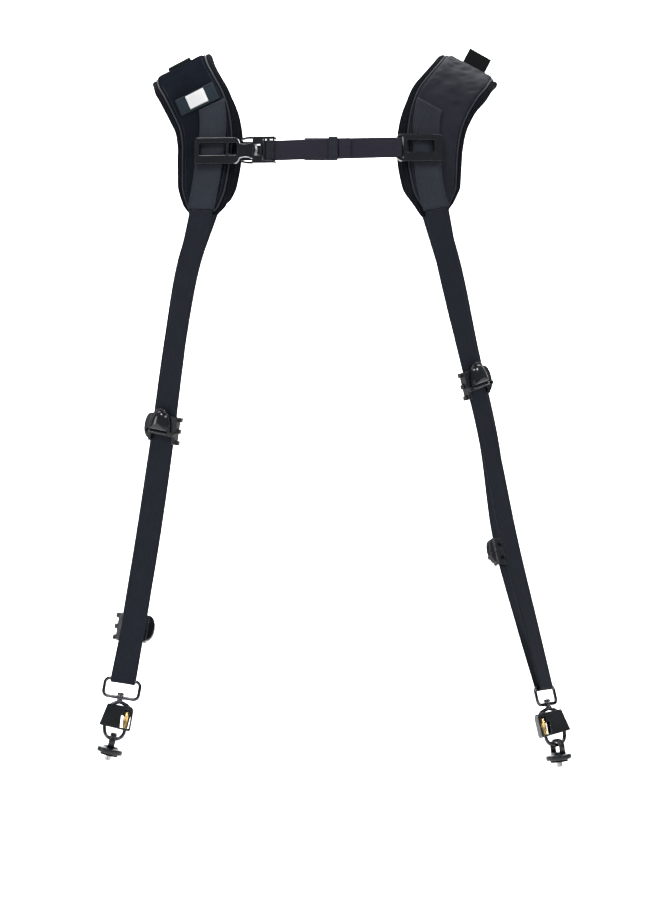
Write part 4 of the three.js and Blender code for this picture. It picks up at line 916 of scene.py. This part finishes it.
def dress_pad(key, side, pad, threads):
    seed = 3.1 if side["sign"] < 0 else 11.7
    base = pad_base(key, pad, seed)
    # the right pad's cover cloth carries painted sheen in its lighter colour
    pad_cover(key, side, pad, PANEL_LEFT if side["sign"] < 0 else PANEL_RIGHT_PAINTED_SHEEN, seed)
    trim = Stack()
    panel_top = PAD_THICKNESS / 2 + GAP + PANEL_THICKNESS
    for inward in (True, False):
        points, _ = edge_line(pad, PANEL_MARGIN - 0.9, PAD_THICKNESS / 2 + 0.5, 0, inward)
        trim.add(tube(points, PIPING_RADIUS, 10))
        points, ups = edge_line(pad, PANEL_MARGIN + 2.6, panel_top + 0.1, 2, inward)
        stitches(threads, points, ups, 3.2, 2.2, 0.26)
    # the piping's light colour is a painted highlight along the panel edges
    trim.build("pad_piping_" + key, PIPING_PAINTED_HIGHLIGHT, "pad_panel")


def dress_pad_webbing(key, side, pad, threads):
    low, high = PAD_WEBBING_ROUTE[0][0], PAD_WEBBING_ROUTE[-1][0]
    stretch = pad.stretch(low, high)
    last = len(stretch) - 1
    offsets = [webbing_offset(low + (high - low) * i / last) for i in range(last + 1)]
    front = layer(stretch, offsets, WEBBING_LEVEL)
    name = "pad_webbing_top_front_" + key
    ribbon(name, front, PAD_WEBBING_WIDTH, PAD_WEBBING, "webbing", "pad_webbing_front_" + key)
    side_rows(threads, front, PAD_WEBBING_WIDTH, THREAD_LEVEL)
    cross_rows(threads, front, PAD_WEBBING_WIDTH, THREAD_LEVEL, (0.02, 0.985))
    if side["sign"] > 0:
        low, high = FOLD_SECTIONS
        doubled = pad.stretch(low, high, step=0.08)
        last = len(doubled) - 1
        offsets = [webbing_offset(low + (high - low) * i / last) for i in range(last + 1)]
        doubled = layer(doubled, offsets, WEBBING_LEVEL + 1.5)
        shape = sweep(doubled, ribbon_section(PAD_WEBBING_WIDTH - 0.6, 1.1, 48, 0.1), fold_ribs)
        build("pad_webbing_fold_" + key, shape, RIBBED_WEBBING, "webbing")
        cross_rows(threads, doubled, PAD_WEBBING_WIDTH, 0.85, (0.95,))
    on_pad, tab = tab_frames(side, pad)
    name = "pad_webbing_top_rear_" + key
    ribbon(name, on_pad + tab, STRAP_WIDTH, TAB_WEBBING, "webbing", "pad_webbing_rear_" + key)
    side_rows(threads, on_pad, STRAP_WIDTH, THREAD_LEVEL)


def lever_outline():
    """The lever's outline from its hinge to its tip and back, across and up."""
    half = LEVER_WIDTH / 2
    tip = LEVER_HINGE + LEVER_HEIGHT
    cheek = LEVER_HINGE + LEVER_HEIGHT * 0.75
    outline = []
    for k in range(25):
        t = k / 24
        b0, b1, b2, b3 = (1 - t) ** 3, 3 * t * (1 - t) ** 2, 3 * t * t * (1 - t), t**3
        x = b0 * half + b1 * half + b2 * half * 0.45
        outline.append((x, b0 * LEVER_HINGE + b1 * cheek + b2 * tip + b3 * tip))
    outline += [(-x, z) for x, z in reversed(outline[:-1])]
    return outline + [(-half + 2 * half * k / 12, LEVER_HINGE) for k in range(1, 12)]


def dress_lever(name, f):
    """The domed lever of a stop, with its barrel."""
    hinge_out = STRAP_THICKNESS / 2 + 3 * GAP + STOP_WALL + LEVER_BARREL / 2
    low = hinge_out - LEVER_BARREL / 2
    top = low + LEVER_RIM
    middle = LEVER_HINGE + LEVER_HEIGHT * 0.42
    dome = LEVER_DOME * 0.9
    profile = [
        (0.985, low), (1.0, low + 0.4), (1.0, top - 0.45), (0.985, top - 0.1), (0.96, top),
        (0.9, top), (0.875, top - 0.15), (0.855, top - 0.5), (0.84, top - 0.45), (0.81, top + 0.4),
    ]
    for k in range(1, 10):
        angle = k * math.pi / 20
        profile.append((0.8 * math.cos(angle), top + 0.5 + dome * math.sin(angle)))
    profile.append((0.02, top + 0.5 + dome))
    outline = lever_outline()
    shells = []
    for s, b in profile:
        shells.append([f.place(LEVER_SHIFT + x * s, b, middle + (z - middle) * s) for x, z in outline])
    lever = Stack()
    lever.add(skin(shells, [[0.0] * len(outline)] * len(shells), [b for _, b in profile]))
    half = LEVER_WIDTH / 2
    barrel = [f.place(LEVER_SHIFT + half * (1 - k / 6), hinge_out, LEVER_HINGE) for k in range(13)]
    radii = [LEVER_BARREL / 2 - 0.35] + [LEVER_BARREL / 2] * 11 + [LEVER_BARREL / 2 - 0.35]
    lever.add(tube(barrel, radii, 20))
    lever.build(name + "_cap", GLOSS, "gloss_plastic", name + "_lever", name + "_lever")


pads, ring_places, hooks, fasteners, chest_frames = {}, {}, {}, {}, {}

for key, side in SIDES.items():
    pad = Pad(side)
    ring = ring_frame(side, pad)
    hook = hook_frame(side, ring)
    pads[key] = pad
    ring_places[key] = ring
    hooks[key] = hook
    fasteners[key] = fastener_frame(side, hook)
    chest_frames[key] = chest_frame(side, pad, FRAME_LIFTS[key])

    threads = Stack()
    dress_pad(key, side, pad, threads)
    dress_pad_webbing(key, side, pad, threads)
    strap, seam = strap_frames(side, pad, ring)
    ribbon("long_strap_" + key, strap, STRAP_WIDTH, WEBBING, "webbing", "strap_" + key)
    cross_rows(threads, strap[:3], STRAP_WIDTH, THREAD_LEVEL, (0.25, 0.6))
    cross_rows(threads, strap[-3:], STRAP_WIDTH, -THREAD_LEVEL, (0.4, 0.75))
    threads.build("stitching_" + key, THREAD, "webbing")
    for name, leg, way, ear in side["stops"]:
        dress_lever(name, stop_frame(side, strap, seam, leg, way, ear))


# Cross band and label on the left pad

def patch(name, sections, width, level, thickness, paint, slot, node):
    """A sewn patch across the left pad, woven the other way, and its frames."""
    stretch = pads["left"].stretch(*sections, step=0.04)
    frames = layer(stretch, [BAND_OFFSET] * len(stretch), level)
    verts, faces, uvs = sweep(frames, ribbon_section(width, thickness, 40, 0.12))
    return build(name, (verts, faces, [(v, u) for u, v in uvs]), paint, slot, node), frames


band, band_frames = patch(
    "cross_band_top", BAND_SECTIONS, BAND_LENGTH, WEBBING_LEVEL, STRAP_THICKNESS,
    BAND_WEBBING, "band", "cross_band",
)
label, label_frames = patch(
    "blank_label", LABEL_SECTIONS, LABEL_WIDTH, LABEL_LEVEL, LABEL_THICKNESS,
    LABEL, "label", "label",
)
band_threads = Stack()
level = STRAP_THICKNESS / 2 + 0.15
for f in (band_frames[2], band_frames[-3]):
    points = [f.place(BAND_LENGTH * (0.47 - 0.94 * k / 20), level) for k in range(21)]
    stitches(band_threads, points, [f.out] * 21, 2.6, 1.8, 0.24)
inner_frames = band_frames[3:-3]
for a in (BAND_LENGTH / 2 - 2, -BAND_LENGTH / 2 + 2):
    points = [f.place(a, level) for f in inner_frames]
    stitches(band_threads, points, [f.out for f in inner_frames], 2.6, 1.8, 0.24)
band_threads.build("band_stitching", THREAD, "band")
label_length = lengths_of([f.at for f in label_frames])[-1]


# Rings, hooks and fasteners

def rounded_loop(width, height, corner, steps=8):
    """Places across and along of a rounded rectangle hanging below zero."""
    half = width / 2 - corner
    foot = -height + corner
    made = []
    for a, c, start in ((half, -corner, 0), (-half, -corner, 90), (-half, foot, 180), (half, foot, 270)):
        for k in range(steps + 1):
            angle = math.radians(start + 90 * k / steps)
            made.append((a + corner * math.cos(angle), c + corner * math.sin(angle)))
    return made


def wire(f, places, steps):
    """A hook wire along a smooth line through places across and along of its frame."""
    knots = [f.place(a, 0, c) for a, c in places]
    return tube(catmull(knots, even(steps)), HOOK_WIRE / 2, 16, up=f.out)


def dress_ring(key, ring):
    metal = Stack()
    loop = rounded_loop(RING_WIDTH - RING_WIRE, RING_HEIGHT - RING_WIRE, RING_CORNER)
    metal.add(tube([ring.place(a, 0, c) for a, c in loop], RING_WIRE / 2, 18, True, up=ring.out))
    half = BAR_HALF
    bore = STEM_DIAMETER / 2 + GAP
    r = RING_BOSS / 2
    boss = [(bore, -half), (r - 0.5, -half), (r, -half + 0.5), (r, half - 0.5), (r - 0.5, half), (bore, half)]
    metal.add(lathe(ring.moved(0, 0, -RING_BOTTOM), boss))
    metal.build("hip_ring_" + key, BLACK_NICKEL, "dark_steel", "ring_" + key)


def dress_hook(key, hook):
    """The stem with its collar and rivet head, the bow and the lug that carries the gate."""
    r = STEM_DIAMETER / 2
    collar = STEM_COLLAR / 2
    collar_low = HOOK_TOP - 3.4
    head = STEM_HEAD / 2
    head_low = BAR_HALF + GAP
    stem = [
        (0, collar_low), (collar - 0.5, collar_low), (collar, collar_low + 0.5),
        (collar, HOOK_TOP - 0.4), (collar - 0.4, HOOK_TOP), (r, HOOK_TOP), (r, head_low),
        (head - 0.3, head_low), (head, head_low + 0.4), (head, head_low + 1.4), (head * 0.9, head_low + 2.2),
        (head * 0.62, head_low + 2.8), (head * 0.3, head_low + 3), (0, head_low + 3.05),
    ]
    shoulder = HOOK_TOP - 2.2
    low, half = HOOK_LOW, HOOK_HALF
    spine = [
        (0.6, shoulder), (-half * 0.55, shoulder - 2.6), (-half * 0.9, shoulder - 8),
        (-half, shoulder - HOOK_LENGTH * 0.34), (-half, low + half), (-half * 0.78, low + half * 0.34),
        (-half * 0.42, low + half * 0.06), (0, low), (half * 0.42, low + half * 0.06),
        (half * 0.78, low + half * 0.34), (GATE_PLACE, GATE_LOW - GAP - 2.5), (GATE_PLACE, GATE_LOW - GAP),
    ]
    lug = [
        (-0.6, shoulder), (half * 0.5, shoulder - 1.2),
        (GATE_PLACE, GATE_TOP + GAP + 2), (GATE_PLACE, GATE_TOP + GAP),
    ]
    metal = Stack()
    metal.add(lathe(hook, stem, 28))
    metal.add(wire(hook, spine, 72))
    metal.add(wire(hook, lug, 20))
    metal.build("swivel_hook_" + key, BLACK_NICKEL, "dark_steel", "hook_" + key, "hook_" + key)


def dress_gate(key, hook):
    """The gate's bar with its knuckle, and the fluted brass sleeve on it."""
    body = "gate_" + key
    metal = Stack()
    r = GATE_WIRE / 2
    line = [hook.place(GATE_PLACE, 0, GATE_LOW + (GATE_PIVOT - GATE_LOW) * k / 10) for k in range(11)]
    metal.add(tube(line, r, 16, up=hook.out))
    knuckle = [hook.place(GATE_PLACE, GATE_WIRE * 0.4 * (k / 2 - 1), GATE_PIVOT) for k in range(5)]
    metal.add(tube(knuckle, [r - 0.3, r, r, r, r - 0.3], 20))
    metal.build("gate_bar_" + key, BLACK_NICKEL, "dark_steel", "gate_" + key, body)

    low = GATE_LOW + 1.5
    long = SLEEVE_LENGTH
    high = low + long
    rs = SLEEVE_DIAMETER / 2
    bore = GATE_WIRE / 2 + GAP
    rows = [
        (bore, low, 0), (rs * 0.62, low, 0), (rs * 0.68, low + 0.5, 0), (rs * 0.71, low + 1.2, 0),
        (rs * 0.74, low + 1.6, 1), (rs * 0.86, low + long * 0.42, 1), (rs * 0.95, low + long * 0.68, 1),
        (rs * 0.98, low + long * 0.7, 0), (rs, low + long * 0.74, 0), (rs * 0.98, low + long * 0.8, 0),
        (rs * 0.7, high - 1.9, 0), (rs * 0.62, high - 0.6, 0), (rs * 0.58, high, 0), (bore, high, 0),
        (bore, low, 0),
    ]
    angles = turn(72)
    shells = []
    for radius, height, fluted in rows:
        shell = []
        for angle in angles:
            flute = FLUTE_DEPTH * smooth_step((math.cos(angle * FLUTES) - 0.2) / 0.5) if fluted else 0
            q = radius - flute
            shell.append(hook.place(GATE_PLACE + q * math.cos(angle), q * math.sin(angle), height))
        shells.append(shell)
    shape = skin(shells, [[0.0] * len(angles)] * len(rows), [height for _, height, _ in rows])
    build("brass_sleeve_" + key, shape, BRASS, "brass", "gate_sleeve_" + key, body)


def dress_fastener(key, fastener):
    """The flat eye round the bow, and the flared boss and disc under it."""
    arch = [vec(0, -EYE_RADIUS, DISC_TOP)]
    for k in range(41):
        angle = math.pi * k / 40
        arch.append(vec(0, -EYE_RADIUS * math.cos(angle), EYE_CENTRE + EYE_RADIUS * math.sin(angle)))
    arch.append(vec(0, EYE_RADIUS, DISC_TOP))
    eye = frames_along([fastener.place(*p) for p in arch], [fastener.across] * len(arch), 1)
    section = []
    for angle in turn(24):
        x, y = math.cos(angle), math.sin(angle)
        x = math.copysign(abs(x) ** 0.55, x) * (EYE_BAND / 2)
        section.append((x, math.copysign(abs(y) ** 0.7, y) * (EYE_THICKNESS / 2)))
    rd = DISC_DIAMETER / 2
    rb = BOSS_DIAMETER / 2
    low, top = DISC_LOW, DISC_TOP
    disc = [
        (0, low), (rd - 1.0, low), (rd - 0.3, low + 0.3), (rd, low + 1.0), (rd, top - 2.2),
        (rd - 0.3, top - 1.5), (rd - 1.1, top - 0.9), (rb + 2.4, top - 0.55), (rb + 1.0, top - 0.2),
        (rb + 0.2, top + 0.5), (rb - 0.4, top + 1.2), (rb - 1.3, top + 1.7), (rb - 2.6, top + 1.85),
        (0, top + 1.9),
    ]
    plastic = Stack()
    plastic.add(sweep(eye, section))
    plastic.add(lathe(fastener, disc, 56))
    plastic.build("fastener_body_" + key, PLASTIC, "plastic", "fastener_" + key, "fastener_" + key)


for key in SIDES:
    dress_ring(key, ring_places[key])
    dress_hook(key, hooks[key])
    dress_gate(key, hooks[key])
    dress_fastener(key, fasteners[key])


# Chest strap

def at_distance(points, start, distance):
    return next(p for p in points if np.linalg.norm(p - start) >= distance)


def chest_path():
    """The chest strap's middle line from its hidden end to its hem, and where its keeper sits."""
    bar = chest_frames["right"].moved(BAR_PLACE, 0)
    plug_place = FRAME_LENGTH / 2 + SOCKET_LENGTH + GAP + PLUG_LENGTH * 0.45 + BAR_TURN + 2.4
    plug = chest_frames["left"].moved(plug_place, 0)
    right_exit = bar.place(BAR_TURN, -BAR_TURN * 0.4)
    left_exit = plug.place(BAR_TURN * 2.2, -BAR_TURN * 0.6)
    span = right_exit - left_exit
    first = plug.place(0, -BAR_TURN)
    control = [
        bar.place(0, BAR_TURN),
        bar.place(BAR_TURN * 2.6, BAR_TURN * 0.75),
        left_exit + span * 0.5 + vec(0, -CHEST_BULGE, 0),
        plug.place(BAR_TURN * 2.6, -BAR_TURN * 0.75),
        first,
    ]
    sides = [bar.along, bar.along, UP, plug.along, plug.along]
    points = [
        bar.place(22, BAR_TURN * 0.75 - LAYER_STEP),
        bar.place(BAR_TURN * 3.2, BAR_TURN * 0.75 - LAYER_STEP - 0.4),
        bar.place(BAR_TURN, -BAR_TURN),
    ]
    half_turn = [-math.pi / 2 + math.pi * i / TURN_STEPS for i in range(TURN_STEPS + 1)]
    for angle in half_turn[:-1]:
        points.append(bar.place(-BAR_TURN * math.cos(angle), BAR_TURN * math.sin(angle)))
    ups = [bar.along] * len(points)
    share = even(60)
    points += catmull(control, share)
    ups += catmull(sides, share)
    for angle in half_turn[1:]:
        points.append(plug.place(-BAR_TURN * math.cos(angle), BAR_TURN * math.sin(angle)))
        ups.append(plug.along)
    forward = square_to(vec(0, -1, 0), unit(span))
    lift = forward * (LAYER_STEP + 0.15)
    back = [1 - s for s in share]
    for p, u in zip(catmull(control, back), catmull(sides, back)):
        if 3 * BAR_TURN < float(np.linalg.norm(p - first)) <= TAIL_LENGTH - 2:
            points.append(p + lift)
            ups.append(u)
    fine = catmull(control, [1 - i / 400 for i in range(401)])
    end = at_distance(fine, first, TAIL_LENGTH) + lift
    points.append(end)
    run = unit(points[-1] - points[-2])
    fold = LAYER_STEP / 2
    for k in range(1, 13):
        angle = math.pi * k / 12
        points.append(end + run * fold * math.sin(angle) + forward * fold * (1 - math.cos(angle)))
    for part in (0.25, 0.5, 0.75, 1):
        points.append(end - run * HEM_LENGTH * part + forward * (2 * fold + 0.2))
    ups += [ups[-1]] * (len(points) - len(ups))
    keeper_at, keeper_ahead = (at_distance(fine, left_exit, KEEPER_PLACE + ahead) for ahead in (0, 2))
    return points, ups, forward, keeper_at, keeper_ahead


points, ups, forward, keeper_at, keeper_ahead = chest_path()
chest = frames_along(points, ups, -1)
ribbon("chest_strap_top", chest, CHEST_WEBBING_WIDTH, CHEST_WEBBING, "chest_webbing", "chest_webbing")
chest_threads = Stack()
for f in (chest[-4], chest[-1]):
    line = [f.place(8.5 - 17 * k / 12, -1.05) for k in range(13)]
    stitches(chest_threads, line, [f.out * -1] * 13, 2.2, 1.5, 0.24)
chest_threads.build("chest_stitching", THREAD, "chest_webbing")

across = square_to(keeper_ahead - keeper_at, UP)
out = square_to(square_to(forward, UP), across)
keeper = Frame(keeper_at + out * (LAYER_STEP / 2), across, out, UP)
depth = LAYER_STEP / 2 + STRAP_THICKNESS / 2 + 3 * GAP + KEEPER_WALL / 2
tall = CHEST_WEBBING_WIDTH / 2 + 2 * GAP + KEEPER_WALL / 2
loop = rounded_loop(2 * depth, 2 * tall, 1.6, 6)
section = ribbon_section(KEEPER_WIDTH, KEEPER_WALL, 24, 0.1)
shells = []
for i, (b, c) in enumerate(loop):
    before, after = loop[i - 1], loop[(i + 1) % len(loop)]
    tangent = unit(vec(after[0] - before[0], after[1] - before[1]))
    shell = []
    for a, h in section:
        rise = h + (0.16 * math.cos(2 * math.pi * a / 1.8) if h > 0 else 0)
        shell.append(keeper.place(a, b + tangent[1] * rise, c + tall - tangent[0] * rise))
    shells.append(shell)
around = lengths_of([vec(b, c, 0) for b, c in loop])
shape = skin(shells, [[a for a, _ in section]] * len(loop), around, True)
build("keeper_band", shape, RIBBED_WEBBING, "webbing", "chest_keeper")


# Back strap

def back_ends(pad):
    f = pad.frame(BACK_STRAP_SECTION, True)
    level = WEBBING_LEVEL + GAP
    return f.place(STRAP_WIDTH / 2 + GAP, level), f.place(PAD_WIDTH / 2 + 2, level), f.along * -1


(left_seam, left_edge, left_up), (right_seam, right_edge, right_up) = (
    back_ends(pads[key]) for key in ("left", "right")
)
middle = (left_edge + right_edge) / 2 + vec(0, BACK_BULGE, 0)
line = catmull([left_edge, middle, right_edge], even(48))
ups = []
for i in range(len(line)):
    to_left, to_right = max(1 - i / 5, 0), max((i - 43) / 5, 0)
    ups.append(left_up * to_left + right_up * to_right + UP * (1 - to_left - to_right))
frames = frames_along([left_seam, *line, right_seam], [left_up, *ups, right_up], 1)
ribbon("back_strap_top", frames, CHEST_WEBBING_WIDTH, WEBBING, "webbing", "back_strap")


# The covers round the hooks

def node_shape(node):
    """A node's corners in millimetres and its faces, with its split corners joined."""
    work = bmesh.new()
    work.from_mesh(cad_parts[node].data)
    bmesh.ops.remove_doubles(work, verts=work.verts, dist=0.001 * MM)
    work.verts.index_update()
    corners = [np.array(v.co) / MM for v in work.verts]
    faces = [[v.index for v in face.verts] for face in work.faces]
    work.free()
    return corners, faces


def cut_away(obj, corners):
    """Takes a box given by its eight corners in millimetres out of an object's mesh."""
    mesh = bpy.data.meshes.new("cutter")
    sides = [(0, 1, 3, 2), (4, 6, 7, 5), (0, 4, 5, 1), (2, 3, 7, 6), (0, 2, 6, 4), (1, 5, 7, 3)]
    mesh.from_pydata([tuple(float(x) * MM for x in p) for p in corners], [], sides)
    work = bmesh.new()
    work.from_mesh(mesh)
    bmesh.ops.recalc_face_normals(work, faces=work.faces)
    work.to_mesh(mesh)
    work.free()
    cutter = bpy.data.objects.new("cutter", mesh)
    bpy.context.scene.collection.objects.link(cutter)
    modifier(obj, "BOOLEAN", object=cutter, operation="DIFFERENCE", solver="EXACT")
    view = bpy.context.evaluated_depsgraph_get()
    shape = bpy.data.meshes.new_from_object(obj.evaluated_get(view))
    obj.modifiers.clear()
    obj.data = shape
    bpy.data.objects.remove(cutter)


def soften(obj, grain, passes):
    """Rounds every edge of a moulded part, as a tool's draft and radii would."""
    modifier(obj, "REMESH", mode="VOXEL", voxel_size=grain * MM, use_smooth_shade=True)
    modifier(obj, "SMOOTH", factor=0.5, iterations=passes)


def flared_cover(key):
    """The hook's cover: its spine side leans out to the foot, and a slot shows the sleeve's tip."""
    hook = hooks[key]
    top = HOOK_TOP - COVER_TOP_DROP
    corners, faces = node_shape("hook_cover_" + key)
    verts = []
    for corner in corners:
        offset = corner - hook.at
        a = float(offset @ hook.across)
        share = min(max((top - float(offset @ hook.along)) / COVER_HEIGHT, 0), 1)
        shift = COVER_LEAN_TOP + (COVER_LEAN_FOOT - COVER_LEAN_TOP) * share
        verts.append(corner + hook.across * shift * smooth_step((-a - 4) / 7))
    shape = (verts, faces, [(0.0, 0.0)] * len(verts))
    made = build("hook_cover_top_" + key, shape, PLASTIC, "plastic", "hook_cover_" + key, "hook_" + key)
    front = -COVER_DEPTH if hook.out[1] > 0 else COVER_DEPTH
    high = top - COVER_ROOF
    places = [(a, b, c) for a in (-2.5, 2.5) for b in (0, front) for c in (high - COVER_SLOT, high)]
    cut_away(made, [hook.place(GATE_PLACE + a, b, c) for a, b, c in places])
    soften(made, 0.34, 3)


for key in SIDES:
    flared_cover(key)


# Finishes of the moulded and metal parts that keep their solids

def finish(node, paint, width):
    """Gives a part its paint and small round edges."""
    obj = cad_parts[node]
    obj.data.materials.clear()
    obj.data.materials.append(paint)
    edges = {"limit_method": "ANGLE", "angle_limit": math.radians(35), "use_clamp_overlap": True}
    modifier(obj, "BEVEL", width=width * MM, segments=2, harden_normals=False, **edges)
    modifier(obj, "WEIGHTED_NORMAL", keep_sharp=True)


def mould(node, paint, grain, passes):
    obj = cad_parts[node]
    obj.data.materials.clear()
    obj.data.materials.append(paint)
    soften(obj, grain, passes)


for side in SIDES.values():
    for name, *_ in side["stops"]:
        mould(name, PLASTIC, 0.4, 5)
for key in SIDES:
    finish("fastener_washer_" + key, RUBBER, 0.3)
    finish("fastener_stud_" + key, STEEL, 0.3)
    mould("chest_frame_" + key, GLOSS, 0.36, 11)
mould("chest_plug", GLOSS, 0.32, 5)
finish("back_slider", PLASTIC, 0.5)


# Floor, backdrop and light, in metres

FLOOR_LEVEL = -0.86
FLOOR_NEAR = -7.0
FLOOR_FAR = 5.0
BACKDROP_BEND = 1.2
BACKDROP_TOP = 4.0
STAGE_HALF = 7.0


def stage_sheet():
    rows = [(FLOOR_NEAR, FLOOR_LEVEL), (FLOOR_FAR, FLOOR_LEVEL)]
    for k in range(1, 13):
        angle = math.pi / 2 * k / 12
        y = FLOOR_FAR + BACKDROP_BEND * math.sin(angle)
        rows.append((y, FLOOR_LEVEL + BACKDROP_BEND * (1 - math.cos(angle))))
    rows.append((FLOOR_FAR + BACKDROP_BEND, BACKDROP_TOP))
    verts = [(x, y, z) for y, z in rows for x in (-STAGE_HALF, STAGE_HALF)]
    faces = [(2 * i, 2 * i + 1, 2 * i + 3, 2 * i + 2) for i in range(len(rows) - 1)]
    mesh = bpy.data.meshes.new("stage_sheet")
    mesh.from_pydata(verts, [], faces)
    for face in mesh.polygons:
        face.use_smooth = True
    pale = Paint("stage", 0.9)
    pale.shader.inputs["Base Color"].default_value = (0.9, 0.9, 0.9, 1)
    mesh.materials.append(pale.material)
    sheet = bpy.data.objects.new("stage_sheet", mesh)
    bpy.context.scene.collection.objects.link(sheet)


def lamp(name, place, target, size, energy):
    data = bpy.data.lights.new(name, "AREA")
    data.shape = "RECTANGLE"
    data.size, data.size_y = size
    data.energy = energy
    obj = bpy.data.objects.new(name, data)
    obj.location = place
    direction = Vector(target) - Vector(place)
    obj.rotation_euler = direction.to_track_quat("-Z", "Y").to_euler()
    bpy.context.scene.collection.objects.link(obj)


stage_sheet()
lamp("key", (-1.2, -1.9, 2.0), (0, 0, -0.35), (1.0, 0.7), 52)
lamp("fill", (1.9, -1.7, 1.7), (0, 0, -0.35), (0.7, 0.7), 46)
lamp("side", (-2.6, -0.7, -0.2), (0, 0, -0.4), (0.5, 1.6), 14)
lamp("backdrop", (0, 4.4, 2.2), (0, 6.2, -0.4), (3.6, 0.8), 260)
lamp("far_floor", (0, 3.3, 2.2), (0, 3.3, -0.86), (3.6, 2.0), 140)
lamp("floor", (0, 1.0, 1.9), (0, 1.0, -0.86), (3.6, 0.8), 70)

world = bpy.data.worlds.new("world")
world.use_nodes = True
world.node_tree.nodes["Background"].inputs["Color"].default_value = (1, 1, 1, 1)
world.node_tree.nodes["Background"].inputs["Strength"].default_value = 0.3
bpy.context.scene.world = world
bpy.context.scene.view_settings.view_transform = "Standard"
